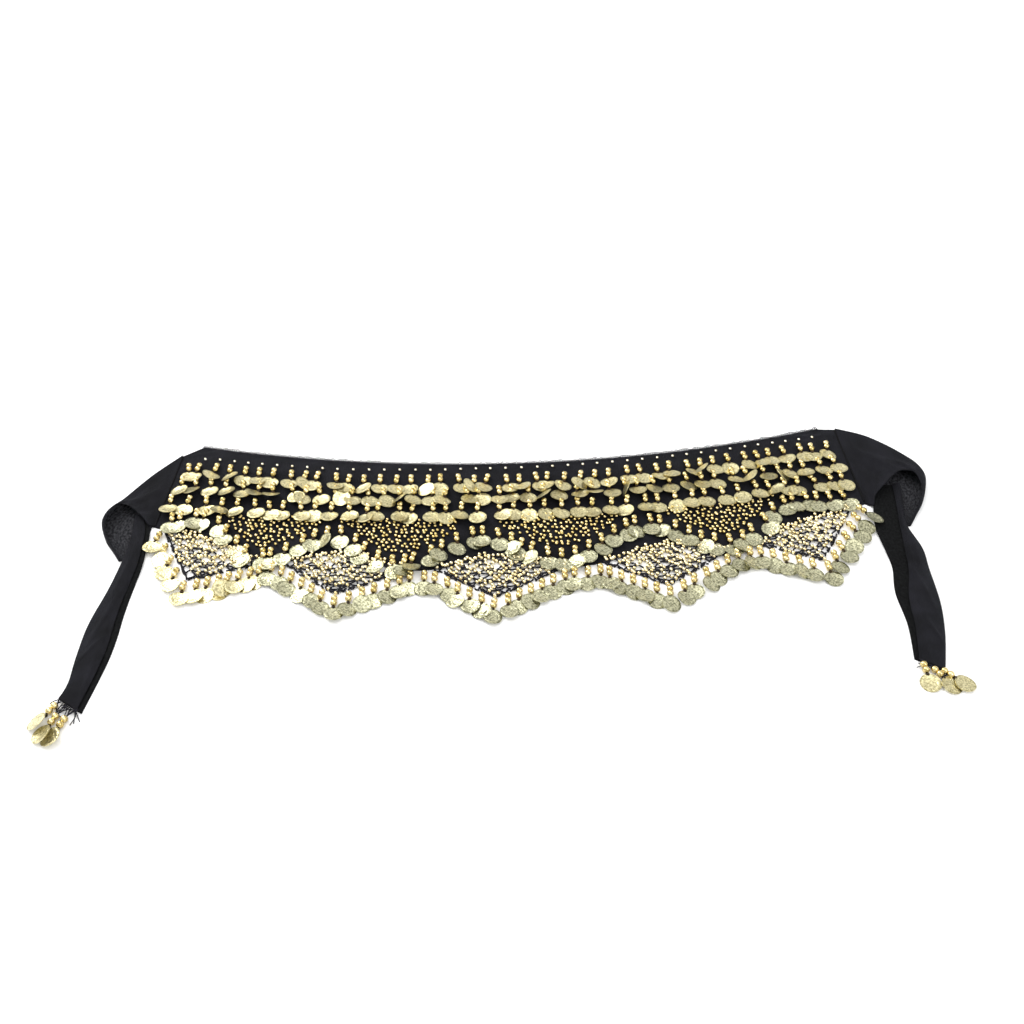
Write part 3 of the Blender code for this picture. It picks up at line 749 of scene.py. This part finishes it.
def hanging_tree(name, items, yarn=False):
    """A Geometry Nodes tree: an item on each point of its kind, and yarn along the edges where asked."""
    sockets = {"Geometry": "Geometry"}
    for item in items:
        sockets |= {f"{item} shape": "Object", f"{item} finish": "Material"}
    if yarn:
        sockets |= {"Yarn radius": "Float", "Yarn finish": "Material"}
    tree, given = new_group(name, "GeometryNodeTree", sockets, {"Geometry": "Geometry"})
    join = add_node(tree, "GeometryNodeJoinGeometry")

    def attribute(label, data_type):
        named = add_node(tree, "GeometryNodeInputNamedAttribute", {"Name": label}, data_type=data_type)
        return named.outputs["Attribute"]

    def finished(geometry, finish):
        real = add_node(tree, "GeometryNodeRealizeInstances", {0: geometry}).outputs[0]
        painted = add_node(tree, "GeometryNodeSetMaterial", {"Geometry": real, "Material": given[finish]})
        set_inputs(tree, join, {0: painted.outputs[0]})

    for number, item in enumerate(items):
        of_kind = {2: attribute("kind", "INT"), 3: number}
        chosen = add_node(tree, "FunctionNodeCompare", of_kind, data_type="INT", operation="EQUAL")
        lie = add_node(tree, "FunctionNodeEulerToRotation", {0: attribute("lie", "FLOAT_VECTOR")})
        shape = add_node(tree, "GeometryNodeObjectInfo", {"Object": given[f"{item} shape"]})
        setting = {
            "Points": given["Geometry"],
            "Selection": chosen.outputs[0],
            "Instance": shape.outputs["Geometry"],
            "Rotation": lie.outputs[0],
            "Scale": attribute("size", "FLOAT"),
        }
        finished(add_node(tree, "GeometryNodeInstanceOnPoints", setting).outputs[0], f"{item} finish")
    if yarn:
        lines = add_node(tree, "GeometryNodeMeshToCurve", {0: given["Geometry"]}).outputs[0]
        even = add_node(tree, "GeometryNodeResampleCurve", {0: lines, "Length": 1.6 * MM}, mode="LENGTH")
        uneven = add_node(tree, "FunctionNodeRandomValue", {2: 0.75, 3: 1.35, "Seed": 5}).outputs[1]
        thick = maths(tree, "MULTIPLY", attribute("size", "FLOAT"), uneven)
        swell = add_node(tree, "GeometryNodeSetCurveRadius", {"Curve": even.outputs[0], "Radius": thick})
        round_yarn = {"Resolution": 5, "Radius": given["Yarn radius"]}
        ring = add_node(tree, "GeometryNodeCurvePrimitiveCircle", round_yarn)
        swept = {"Curve": swell.outputs[0], "Profile Curve": ring.outputs[0], "Fill Caps": True}
        finished(add_node(tree, "GeometryNodeCurveToMesh", swept).outputs[0], "Yarn finish")
    add_node(tree, "NodeGroupOutput", {0: join.outputs[0]})
    return tree


def placed(name, points, tree, inputs, edges=()):
    """One mesh of all that a tree sets on points, each with its kind, place in mm, lie and size."""
    mesh = bpy.data.meshes.new(name)
    kinds, places, lies, sizes = zip(*points)
    mesh.from_pydata([tuple(np.asarray(place) * MM) for place in places], list(edges), [])
    for label, data_type, field, values in (
        ("kind", "INT", "value", kinds),
        ("lie", "FLOAT_VECTOR", "vector", [turn for lie in lies for turn in lie]),
        ("size", "FLOAT", "value", sizes),
    ):
        mesh.attributes.new(label, data_type, "POINT").data.foreach_set(field, values)
    made = linked(name, mesh)
    setting = made.modifiers.new("setting", "NODES")
    setting.node_group = tree
    for socket in tree.interface.items_tree:
        if socket.in_out == "INPUT" and socket.name in inputs:
            setting[socket.identifier] = inputs[socket.name]
    graph = bpy.context.evaluated_depsgraph_get()
    whole = bpy.data.meshes.new_from_object(made.evaluated_get(graph))
    made.modifiers.remove(setting)
    made.data = whole
    bpy.data.meshes.remove(mesh)
    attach(made, "root")
    return made


bead_shape = round_bead("bead_shape", BEAD / 2 * MM, 12, 8)
knot_shape = round_bead("knot_shape", KNOT / 2 * MM, 8, 6, KNOT_SQUASH)
coin_shapes = {
    kind: thin_coin(kind.replace(" ", "_"), COIN / 2 * MM, COIN_THICK * MM, along * MM, across * MM)
    for kind, along, across in COIN_BENDS
}
STRAND_TREE = hanging_tree("strands", ("Bead", "Knot", *coin_shapes))
STRAND_INPUTS = {
    "Bead shape": bead_shape,
    "Bead finish": bead_gold,
    "Knot shape": knot_shape,
    "Knot finish": knot_thread,
}
for kind, shape in coin_shapes.items():
    STRAND_INPUTS[f"{kind} shape"] = shape
    STRAND_INPUTS[f"{kind} finish"] = coin_gold


def heading(turn_from_down, down):
    """A direction on the table, turned by some degrees from straight down the cloth."""
    angle = math.radians(turn_from_down)
    x, y = down
    return np.array((x * math.cos(angle) - y * math.sin(angle), x * math.sin(angle) + y * math.cos(angle)))


def down_cloth(along):
    step = laid(along, 1.0) - laid(along, 0.0)
    return step / np.linalg.norm(step)


def lie_along(direction, pitch, roll):
    """The turn of an item whose +Y follows a direction on the table, with a pitch up and a roll."""
    level = Vector((direction[0], direction[1], 0.0)).normalized()
    side = level.cross(Vector((0.0, 0.0, 1.0)))
    lifted = Matrix.Rotation(math.radians(pitch), 3, side) @ level
    turned_side = Matrix.Rotation(math.radians(roll), 3, lifted) @ side
    normal = turned_side.cross(lifted)
    return tuple(Matrix((turned_side, lifted, normal)).transposed().to_euler())


def strand(root, direction, surface, pitch, roll, swing, coin_kind):
    """The points of one strand: its beads lie on a surface, and its coin is pitched, rolled and swung."""
    level = (0.0, 0.0, math.atan2(direction[1], direction[0]))
    points = []
    for number in range(2):
        place = root + direction * (BEAD / 2 + BEAD_STEP * number)
        points.append((0, (*place, surface + BEAD / 2), level, 1.0))
    knot_height = surface + KNOT_HEIGHT
    points.append((1, (*(root + direction * KNOT_PLACE), knot_height), level, 1.0))
    way = heading(swing, direction)
    arm = COIN / 2 - COIN_HOLE_INSET
    rise, tip = (math.sin(math.radians(turn)) for turn in (pitch, roll))
    place = root + direction * COIN_HINGE + way * arm * math.cos(math.radians(pitch))
    hung = knot_height + arm * rise + COIN_ABOVE_KNOT
    propped = surface + COIN_THICK + TILTED_COIN_SHARE * COIN / 2 * min(1.0, abs(rise) + abs(tip))
    points.append((2 + coin_kind, (*place, max(hung, propped)), lie_along(way, pitch, roll), 1.0))
    return points


# The thread lines of the rows: place along the panel and depth, at the points where each line bends
LINE_1 = (
    (-362, 34), (-325, 26), (-206, 24.5), (-139, 23.5), (-77, 20.5), (60, 20), (143, 18), (300, 19), (356, 27)
)
LINE_2 = (
    (-362, 55), (-325, 50), (-261, 46), (-183, 45), (-93, 40), (40, 37.5), (120, 37.5), (243, 42), (356, 50)
)
LINE_3 = (
    (-362, 86), (-330, 79), (-265, 75), (-174, 69), (-92, 65), (20, 62), (151, 66), (258, 68), (358, 76)
)
LINE_4 = (
    (-362, 112), (-322, 99), (-253, 146), (-181, 105), (-118, 144), (-33, 100),
    (47, 137), (132, 96), (218, 141), (292, 96), (358, 107)
)
# Rows on the cloth: the thread line, its first and last strand and their number, the pitch of the coins,
# the spread of their roll, and the share of them that are turned over or lie askew
ROW_COLUMNS = ("name", "node", "stretches", "line", "first", "last", "strands", "pitch", "roll", "unruly")
ROW_ROWS = (
    ("strands_row_1", "coin_row_1", 3, LINE_1, -360.0, 352.0, 44, 14.0, 11.0, 0.20),
    ("strands_row_2", "coin_row_2", 2, LINE_2, -359.0, 353.0, 43, 14.0, 11.0, 0.16),
    ("strands_row_3", "coin_row_3", 2, LINE_3, -360.0, 357.0, 43, 9.0, 7.0, 0.04),
    ("strands_row_4", "coin_row_4", 4, LINE_4, -357.0, 346.0, 55, 3.0, 12.0, 0.03),
)
STRAY_ALONG = 2.6
STRAY_DOWN = 1.2
DIRECTION_SPREAD = 6.0
PITCH_SPREAD = 4.5
SWING_SPREAD = 10.0
UNRULY_PITCHES = (-5.0, -1.0, 27.0, 34.0)
UNRULY_ROLL = 26.0
UNRULY_SWING = 24.0
RIGHT_LEAN = 5.0
LEFT_LEAN = 6.0
LEAN_RUN = 210.0
RIGHT_LEAN_START = 60.0
LEFT_LEAN_START = 120.0


def line_depth(line, along):
    """The depth of a thread line at a place along the panel, eased from each of its points to the next."""
    for (start, start_depth), (end, end_depth) in zip(line, line[1:]):
        if along < end:
            share = max(0.0, (along - start) / (end - start))
            return start_depth + (end_depth - start_depth) * (0.5 - 0.5 * math.cos(math.pi * share))
    return line[-1][1]


def end_lean(along):
    """How far the strands swing outwards towards the two ends of the panel, in degrees."""
    right = min(1.0, max(0.0, (along - RIGHT_LEAN_START) / LEAN_RUN))
    left = min(1.0, max(0.0, (-along - LEFT_LEAN_START) / LEAN_RUN))
    return RIGHT_LEAN * right + LEFT_LEAN * left


SHADED_COIN_INPUTS = STRAND_INPUTS | {f"{kind} finish": shaded_coin_gold for kind in coin_shapes}
for row in (dict(zip(ROW_COLUMNS, values)) for values in ROW_ROWS):
    chance = random.Random(row["name"])
    points = []
    for number in range(row["strands"]):
        along = row["first"] + (row["last"] - row["first"]) * number / (row["strands"] - 1)
        along += chance.uniform(-STRAY_ALONG, STRAY_ALONG)
        depth = line_depth(row["line"], along) + chance.uniform(-STRAY_DOWN, STRAY_DOWN)
        direction = heading(end_lean(along) + chance.gauss(0.0, DIRECTION_SPREAD), down_cloth(along))
        pitch = row["pitch"] + chance.gauss(0.0, PITCH_SPREAD)
        roll = chance.gauss(0.0, row["roll"])
        swing = chance.gauss(0.0, SWING_SPREAD)
        if 1 < number < row["strands"] - 2 and chance.random() < row["unruly"]:
            pitch = chance.choice(UNRULY_PITCHES)
            roll = chance.gauss(0.0, UNRULY_ROLL)
            swing = chance.gauss(0.0, UNRULY_SWING)
        root = laid(along, depth)
        points += strand(root, direction, CLOTH_TOP, pitch, roll, swing, chance.randrange(3))
    # The lowest row's coins take the shaded copy of the coin metal, painted shade
    finishes = SHADED_COIN_INPUTS if row["line"] is LINE_4 else STRAND_INPUTS
    piece = placed(row["name"], points, STRAND_TREE, finishes)
    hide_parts(*(f"{row['node']}_{stretch + 1}" for stretch in range(row["stretches"])))


# Between the nets, four patches of small gold beads are sewn straight on to the cloth. Each is a
# triangle that points down into a trough of the scalloped row, its beads in uneven rows.
SMALL_BEAD = 3.6
PATCH_TOP = 84.0
PATCH_BELOW_COINS = 21.0
PATCH_ROW_STEP = 5.1
PATCH_STEP = 5.6
PATCH_HALF_WIDTH = 60.0
PATCH_CLEAR = 5.0
PATCH_DEPTH = 60.0
PATCH_STRAY_ALONG = 1.9
PATCH_STRAY_DOWN = 1.8
BEAD_SINK = 0.2
small_bead_shape = round_bead("small_bead_shape", SMALL_BEAD / 2 * MM, 8, 6)
BEAD_TREE = hanging_tree("small beads", ("Bead",))
FLAT = (0.0, 0.0, 0.0)
patch_points = []
chance = random.Random(21)
for trough, _ in LINE_4[2:9:2]:
    row_number = 0
    depth = PATCH_TOP
    while depth < PATCH_TOP + PATCH_DEPTH:
        along = trough - PATCH_HALF_WIDTH + PATCH_STEP / 2 * (row_number % 2)
        while along < trough + PATCH_HALF_WIDTH:
            s = along + chance.uniform(-PATCH_STRAY_ALONG, PATCH_STRAY_ALONG)
            t = depth + chance.uniform(-PATCH_STRAY_DOWN, PATCH_STRAY_DOWN)
            if line_depth(LINE_3, s) + PATCH_BELOW_COINS < t < line_depth(LINE_4, s) - PATCH_CLEAR:
                place = (*laid(s, t), CLOTH_TOP + SMALL_BEAD / 2 - BEAD_SINK)
                patch_points.append((0, place, FLAT, 1.0))
            along += PATCH_STEP
        depth += PATCH_ROW_STEP
        row_number += 1
patches = placed(
    "bead_patches", patch_points, BEAD_TREE, {"Bead shape": small_bead_shape, "Bead finish": bead_gold}
)


# A line of tiny seed beads runs just under the top edge, one to each stitch of the hem. They are paler
# than the other beads, and a little uneven in their spacing.
SEED_BEAD = 3.4
SEED_TONES = ((0.3, (0.80, 0.72, 0.50, 1.0)), (0.7, (0.98, 0.93, 0.76, 1.0)))
SEED_LINE = (
    (-356, 22), (-322, 18), (-210, 15.5), (-100, 11), (-40, 8.5), (160, 7.5), (255, 8.5), (352, 13.5)
)
SEED_STEP = 16.6
SEED_STRAY = 1.0
SEED_FIRST = LEFT_CORNER + 8.0
SEED_LAST = RIGHT_CORNER - 2.0
seed_points = []
along = SEED_FIRST
while along < SEED_LAST:
    place = (*laid(along, line_depth(SEED_LINE, along)), CLOTH_TOP + SEED_BEAD / 2 - BEAD_SINK)
    seed_points.append((0, place, FLAT, SEED_BEAD / SMALL_BEAD))
    along += SEED_STEP + chance.uniform(-SEED_STRAY, SEED_STRAY)
pale_gold = metal_finish("pale small bead", SEED_TONES, 0.20, BEAD_NOISE)
seed_look = {"Bead shape": small_bead_shape, "Bead finish": pale_gold}
seeds = placed("seed_beads", seed_points, BEAD_TREE, seed_look)


# The top edge is bound with a narrow crocheted edging of small loops in fine grey-black yarn, worked
# on two lines of yarn that run along the cloth's edge.
EDGING_WIDTH = 5.5
EDGING_STEP = 2.6
EDGING_YARN = 0.42
LOOP_POINTS = 7
LOOP_SIZE = 0.75
LOOP_FOOT = 0.6
# The two lines: depth and height of each, how far it strays, and the step of its points
EDGING_LINES = ((0.6, 1.5), (-0.9, 1.0))
EDGING_STRAY = 0.25
EDGING_LINE_STEP = 2.0
edging_yarn = yarn_finish("edging yarn", (0.008, 0.008, 0.010), (0.055, 0.055, 0.06), 0.85)
YARN_TREE = hanging_tree("yarn", ("Bead",), yarn=True)


def add_line(points, edges, places, size):
    """A line of yarn through places in mm, added to the points and edges of a mesh."""
    first = len(points)
    points += [(-1, place, FLAT, size) for place in places]
    edges += [(first + k, first + k + 1) for k in range(len(places) - 1)]


def crocheted(name, points, edges, radius, yarn, bead_finish=bead_gold):
    """One piece of yarn along edges, with a small bead on each point that has one."""
    look = {
        "Bead shape": small_bead_shape,
        "Bead finish": bead_finish,
        "Yarn radius": radius * MM,
        "Yarn finish": yarn,
    }
    return placed(name, points, YARN_TREE, look, edges)


edging_points, edging_edges = [], []
chance = random.Random(31)
for depth, height in EDGING_LINES:
    line = [
        (*laid(along, depth + chance.uniform(-EDGING_STRAY, EDGING_STRAY)), height)
        for along in np.arange(LEFT_CORNER, RIGHT_CORNER + 1.0, EDGING_LINE_STEP)
    ]
    add_line(edging_points, edging_edges, line, 1.0)
along = LEFT_CORNER + 1.0
while along < RIGHT_CORNER - 1.0:
    tall = EDGING_WIDTH * chance.uniform(0.40, 1.0)
    wide = EDGING_STEP * chance.uniform(0.42, 0.6)
    lift = chance.uniform(0.7, 1.5)
    loop = []
    for turn in (math.pi * step / (LOOP_POINTS - 1) for step in range(LOOP_POINTS)):
        place = laid(along - wide * math.cos(turn), -LOOP_FOOT - (tall - LOOP_FOOT) * math.sin(turn))
        loop.append((*place, 0.7 + lift * math.sin(turn) * 0.5))
    add_line(edging_points, edging_edges, loop, LOOP_SIZE)
    along += EDGING_STEP
edging = crocheted("top_edging_crochet", edging_points, edging_edges, EDGING_YARN, edging_yarn)
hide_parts("top_edging")


# The seams at the two ends of the panel, where the ties are sewn on, lie under a narrow black welt,
# a roll of the same cloth that runs from the top edge to the hem.
WELT = 1.2
WELT_HEIGHT = 1.3
WELT_STEP = 3.0
# The welt is painted darker than the black cloth, a painted shade that keeps the light on its rounded side
# from showing as a grey line
shade_darkened_welt = yarn_finish("welt", (0.0008, 0.0008, 0.001), (0.003, 0.003, 0.004), 0.95)
welt_points, welt_edges = [], []
for end in (LEFT_END, RIGHT_END):
    depths = np.arange(top_depth(end) + 1.0, cloth_depth(end) - 1.0, WELT_STEP)
    add_line(welt_points, welt_edges, [(*laid(end, depth), WELT_HEIGHT) for depth in depths], 1.0)
welts = crocheted("end_welts", welt_points, welt_edges, WELT, shade_darkened_welt)


# Five nets hang from the lower edge: open crochet of black yarn in diamond meshes, with a small gold
# bead at each knot and on most sides of a mesh. More bare yarn crosses the meshes towards each tip.
NET_TIP = 196.5
NET_END_INSET = 6.0
MESH_WIDTH = 11.4
MESH_HEIGHT = 5.7
# Each net: its middle, the slopes of its two sides, how far the fringe turns outwards at the far end of
# each, and the number of its strands on each
NET_COLUMNS = (
    "piece", "node", "middle", "left_slope", "right_slope", "left_splay", "right_splay", "left", "right"
)
NET_ROWS = (
    ("net_crochet_1", "net_1", -316.0, 1.45, 0.48, -12.0, 0.0, 4, 7),
    ("net_crochet_2", "net_2", -170.0, 0.62, 0.54, 0.0, 0.0, 6, 6),
    ("net_crochet_3", "net_3", -19.0, 0.62, 0.53, 0.0, 0.0, 6, 7),
    ("net_crochet_4", "net_4", 148.0, 0.62, 0.53, 0.0, 0.0, 7, 6),
    ("net_crochet_5", "net_5", 307.0, 0.60, 1.30, 0.0, 43.0, 6, 6),
)
NETS = [dict(zip(NET_COLUMNS, row)) for row in NET_ROWS]
YARN = 0.88
NET_BEAD = 4.0
NET_BEAD_SIZE = NET_BEAD / SMALL_BEAD
NET_TONES = ((0.3, (0.62, 0.50, 0.24, 1.0)), (0.7, (0.96, 0.88, 0.62, 1.0)))
# How far the knots and the middles of the meshes' sides stray along the panel and down it, in mm
KNOT_STRAY = (2.2, 1.5)
SIDE_STRAY = (1.3, 1.0)
SAG_STRAY = 1.6
KNOT_LIFT = 2.2
SIDE_LIFT = 2.0
SAG_LIFT = 1.6
SAG_SIZE = 0.9
END_LIFT = 1.2
# The chances that a knot near the tip is bare, that a side of a mesh has a bead, and that yarn crosses a
# mesh. The last two change with each row down
BARE_TIP = 13.0
BARE_KNOTS = 0.6
BEADED_SIDES = 0.86
BEADED_SIDES_FALL = 0.35 / 9
CROSSED_MESHES = 0.45
CROSSED_MESHES_RISE = 0.08
# The two lines of yarn along a net's sides: their insets, how far they stray, size, chance of a break
BORDER_INSETS = (0.8, 2.8)
BORDER_STRAY = 1.8
BORDER_SIZE = 0.48
BORDER_BREAKS = 0.3
BORDER_STEP = 2.0
# The two lines of beads along the hem over a net: place below the hem, share of the places with a bead
HEM_BEADS = ((-0.4, 1.0), (-4.4, 0.45))
HEM_BEAD_STEP = 4.6
HEM_BEAD_STRAY = 1.2
HEM_LINE_SIZE = 0.9
black_thread = yarn_finish("black thread", (0.004, 0.004, 0.006), (0.016, 0.015, 0.022), 0.8)
net_gold = metal_finish("net bead", NET_TONES, 0.16, BEAD_NOISE)


def net_depth(net, along):
    offset = along - net["middle"]
    slope = net["left_slope"] if offset < 0 else net["right_slope"]
    return NET_TIP - slope * abs(offset)


def net_reach(index):
    middle = NETS[index]["middle"]
    left = LEFT_END + NET_END_INSET
    right = RIGHT_END - NET_END_INSET
    if index > 0:
        left = (NETS[index - 1]["middle"] + middle) / 2
    if index < len(NETS) - 1:
        right = (NETS[index + 1]["middle"] + middle) / 2
    return left, right


def inside_net(net, along, depth):
    return cloth_depth(along) - 1.0 < depth < net_depth(net, along) - 0.8


for index, net in enumerate(NETS):
    chance = random.Random(40 + index)
    low, high = net_reach(index)
    points, edges, knots = [], [], {}
    for row in range(-4, 11):
        for column in range(-10, 10):
            along = net["middle"] + MESH_WIDTH * (column + 0.5 + 0.5 * (row % 2))
            depth = DEPTH_AT_NET + MESH_HEIGHT * (row + 0.25)
            if low < along < high and inside_net(net, along, depth):
                s = along + chance.uniform(-KNOT_STRAY[0], KNOT_STRAY[0])
                t = depth + chance.uniform(-KNOT_STRAY[1], KNOT_STRAY[1])
                knots[row, 2 * column + row % 2] = (len(points), s, t)
                bare = depth > NET_TIP - BARE_TIP and chance.random() < BARE_KNOTS
                place = (*laid(s, t), KNOT_LIFT + chance.uniform(-0.3, 0.6))
                points.append((-1 if bare else 0, place, FLAT, NET_BEAD_SIZE))
    for (row, column), (number, s, t) in knots.items():
        for side in (-1, 1):
            for down in (1, -1):
                other = knots.get((row + down, column + side))
                if other and down == 1:
                    s_middle = (s + other[1]) / 2 + chance.uniform(-SIDE_STRAY[0], SIDE_STRAY[0])
                    t_middle = (t + other[2]) / 2 + chance.uniform(-SIDE_STRAY[1], SIDE_STRAY[1])
                    beaded = chance.random() < BEADED_SIDES - BEADED_SIDES_FALL * max(0, row)
                    place = (*laid(s_middle, t_middle), SIDE_LIFT + chance.uniform(-0.3, 0.5))
                    points.append((0 if beaded else -1, place, FLAT, NET_BEAD_SIZE))
                    edges += [(number, len(points) - 1), (len(points) - 1, other[0])]
                elif not other:
                    for share in np.linspace(0.1, 1.0, 10):
                        s_end = s + side * MESH_WIDTH / 2 * share
                        t_end = t + down * MESH_HEIGHT * share
                        if not inside_net(net, s_end, t_end):
                            break
                    points.append((-1, (*laid(s_end, t_end), END_LIFT), FLAT, 1.0))
                    edges.append((number, len(points) - 1))
    for (row, column), (number, s, t) in knots.items():
        beside = knots.get((row, column + 2))
        if beside and chance.random() < CROSSED_MESHES + CROSSED_MESHES_RISE * max(0, row):
            sag = (s + beside[1]) / 2, (t + beside[2]) / 2 + chance.uniform(-SAG_STRAY, SAG_STRAY)
            points.append((-1, (*laid(*sag), SAG_LIFT), FLAT, SAG_SIZE))
            edges += [(number, len(points) - 1), (len(points) - 1, beside[0])]
    sides = [s for s in np.arange(low, high, BORDER_STEP) if net_depth(net, s) > cloth_depth(s)]
    for inset in BORDER_INSETS:
        line = []
        for s in sides:
            depth = net_depth(net, s) - inset + chance.uniform(-BORDER_STRAY, BORDER_STRAY)
            line.append((*laid(s, depth), 1.0 + chance.uniform(0, 0.6)))
            if chance.random() < BORDER_BREAKS:
                add_line(points, edges, line, BORDER_SIZE)
                line = []
        add_line(points, edges, line, BORDER_SIZE)
    hem_line = []
    for s in np.arange(sides[0], sides[-1], BORDER_STEP):
        hem_line.append((*laid(s, cloth_depth(s) + 0.6), 1.4 + chance.uniform(0, 0.3)))
    add_line(points, edges, hem_line, HEM_LINE_SIZE)
    for below, share in HEM_BEADS:
        for s in np.arange(sides[0] + 3.0, sides[-1] - 2.0, HEM_BEAD_STEP):
            t = cloth_depth(s) + below + chance.uniform(-HEM_BEAD_STRAY, HEM_BEAD_STRAY)
            if chance.random() < share:
                place = laid(s + chance.uniform(-HEM_BEAD_STRAY, HEM_BEAD_STRAY), t)
                points.append((0, (*place, CLOTH_TOP + 1.6), FLAT, NET_BEAD_SIZE))
    piece = crocheted(net["piece"], points, edges, YARN, black_thread, net_gold)
    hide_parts(net["node"])


# The fringe is a strand every 12 mm or so along the sides of the nets and the cloth between them. Its
# coins lie shingled on the table, and splay outwards at both ends of the scarf.
FRINGE_ROOT = 2.9
FRINGE_LIFT = 3.4
WIDEST_SPLAY = 43.0
TABLE_TOP = 0.0
FRINGE_DIRECTION_SPREAD = 3.0
FRINGE_PITCH_SPREAD = 6.0
FRINGE_ROLL = -6.0
FRINGE_ROLL_SPREAD = 9.0
FRINGE_SWING_SPREAD = 8.0


def edge_place(net, along):
    """Where on the table the scalloped edge of the cloth and a net lies."""
    return laid(along, max(cloth_depth(along), net_depth(net, along)))


def evenly_from(start, end, net, count):
    """Places spaced evenly by the length of the scalloped edge after its start."""
    fine = np.linspace(start, end, 400)
    line = np.array([edge_place(net, s) for s in fine])
    run = np.concatenate([[0], np.cumsum(np.linalg.norm(np.diff(line, axis=0), axis=1))])
    wanted = np.arange(1, count + 1) / (count + 0.5) * run[-1]
    return [float(np.interp(length, run, fine)) for length in wanted]


for index, net in enumerate(NETS):
    chance = random.Random(60 + index)
    low, high = net_reach(index)
    middle = net["middle"]
    before = evenly_from(middle, low, net, net["left"])
    after = evenly_from(middle, high, net, net["right"])
    points = []
    for along in (*reversed(before), middle, *after):
        left_side = along < middle
        reach = (middle - low) if left_side else (high - middle)
        splay = (net["left_splay"] if left_side else net["right_splay"]) * (abs(along - middle) / reach)
        ahead = edge_place(net, along + 1) - edge_place(net, along - 1)
        tangent = ahead / np.linalg.norm(ahead)
        root = edge_place(net, along) + np.array((tangent[1], -tangent[0])) * FRINGE_ROOT
        direction = heading(splay + chance.gauss(0.0, FRINGE_DIRECTION_SPREAD), down_cloth(along))
        pitch = chance.gauss(0.0, FRINGE_PITCH_SPREAD)
        roll = chance.gauss(FRINGE_ROLL, FRINGE_ROLL_SPREAD)
        surface = TABLE_TOP + FRINGE_LIFT * abs(splay) / WIDEST_SPLAY
        swing = chance.gauss(0.0, FRINGE_SWING_SPREAD)
        points += strand(root, direction, surface, pitch, roll, swing, chance.randrange(3))
    # All fringes but the leftmost take the shaded copy of the coin metal, painted shade
    finishes = SHADED_COIN_INPUTS if index > 0 else STRAND_INPUTS
    piece = placed(f"fringe_strands_{index + 1}", points, STRAND_TREE, finishes)
    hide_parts(f"fringe_{index + 1}")


# Three more strands hang from the end of each tie, on a little web of black crochet thread whose
# loose ends stick out.
TIP_COLUMNS = ("share", "turn", "drop", "roll")
LEFT_TIP = ((0.12, -30.0, 4.0, 30.0), (0.44, -20.0, 11.0, 26.0), (0.74, -8.0, 9.0, 22.0))
RIGHT_TIP = ((0.26, 0.0, 1.0, 5.0), (0.58, 26.0, 3.0, -8.0), (0.86, 46.0, 1.0, -6.0))
TIP_YARN = 0.45
TIP_YARN_HEIGHT = 2.6
TIP_THREADS = (-4.0, -2.0, 0.0, 2.0, 4.0)
TIP_THREADS_START = 1.5
LOOSE_ENDS = 9
LOOSE_END_SIZE = 0.55
for name, node, tail_rows, rows in (
    ("tip_strands_left", "tip_coins_left", LEFT_TAIL, LEFT_TIP),
    ("tip_strands_right", "tip_coins_right", RIGHT_TAIL, RIGHT_TIP),
):
    chance = random.Random(name)
    hem = tail_rows[-1]
    corners = (np.array((hem[0], hem[1] + LAYOUT_MOVE)), np.array((hem[2], hem[3] + LAYOUT_MOVE)))
    left, right = sorted(corners, key=lambda corner: corner[0])
    tangent = (right - left) / np.linalg.norm(right - left)
    outward = np.array((tangent[1], -tangent[0]))
    points, thread_points, thread_edges = [], [], []
    roots = []
    for row in (dict(zip(TIP_COLUMNS, values)) for values in rows):
        root = left + (right - left) * row["share"] + outward * row["drop"]
        roots.append((root, row["drop"]))
        direction = heading(row["turn"] + chance.gauss(0.0, 4.0), (0.0, -1.0))
        pitch = chance.gauss(-4.0, 2.0)
        points += strand(root, direction, TABLE_TOP, pitch, row["roll"], 0.0, chance.randrange(3))
    piece = placed(name, points, STRAND_TREE, STRAND_INPUTS)
    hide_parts(node)
    for root, drop in roots:
        for side in TIP_THREADS:
            start = root - outward * (drop + TIP_THREADS_START) + tangent * side
            sway = (start + root) / 2 + tangent * chance.uniform(-1.5, 1.5)
            thread = [(*start, TIP_YARN_HEIGHT), (*sway, 2.8), (*root, TIP_YARN_HEIGHT)]
            add_line(thread_points, thread_edges, thread, 1.0)
    for (first, _), (second, _) in zip(roots, roots[1:]):
        dip = (first + second) / 2 + outward * 2.0
        thread = [(*first, TIP_YARN_HEIGHT), (*dip, 1.4), (*second, TIP_YARN_HEIGHT)]
        add_line(thread_points, thread_edges, thread, 0.9)
    for number in range(LOOSE_ENDS):
        start = left + (right - left) * chance.uniform(0.0, 1.0)
        way = heading(chance.uniform(-70, 70), outward)
        bend = heading(chance.uniform(-50, 50), way)
        half = chance.uniform(7.0, 17.0) / 2
        middle = start + way * half
        loose_end = [(*start, 2.4), (*middle, 2.0), (*(middle + bend * half), 1.0)]
        add_line(thread_points, thread_edges, loose_end, LOOSE_END_SIZE)
    thread_name = name.replace("strands", "threads")
    threads = crocheted(thread_name, thread_points, thread_edges, TIP_YARN, black_thread)


# The shapes that were set on the points are taken away again.
for shape in (bead_shape, knot_shape, small_bead_shape, *coin_shapes.values()):
    bpy.data.objects.remove(shape)
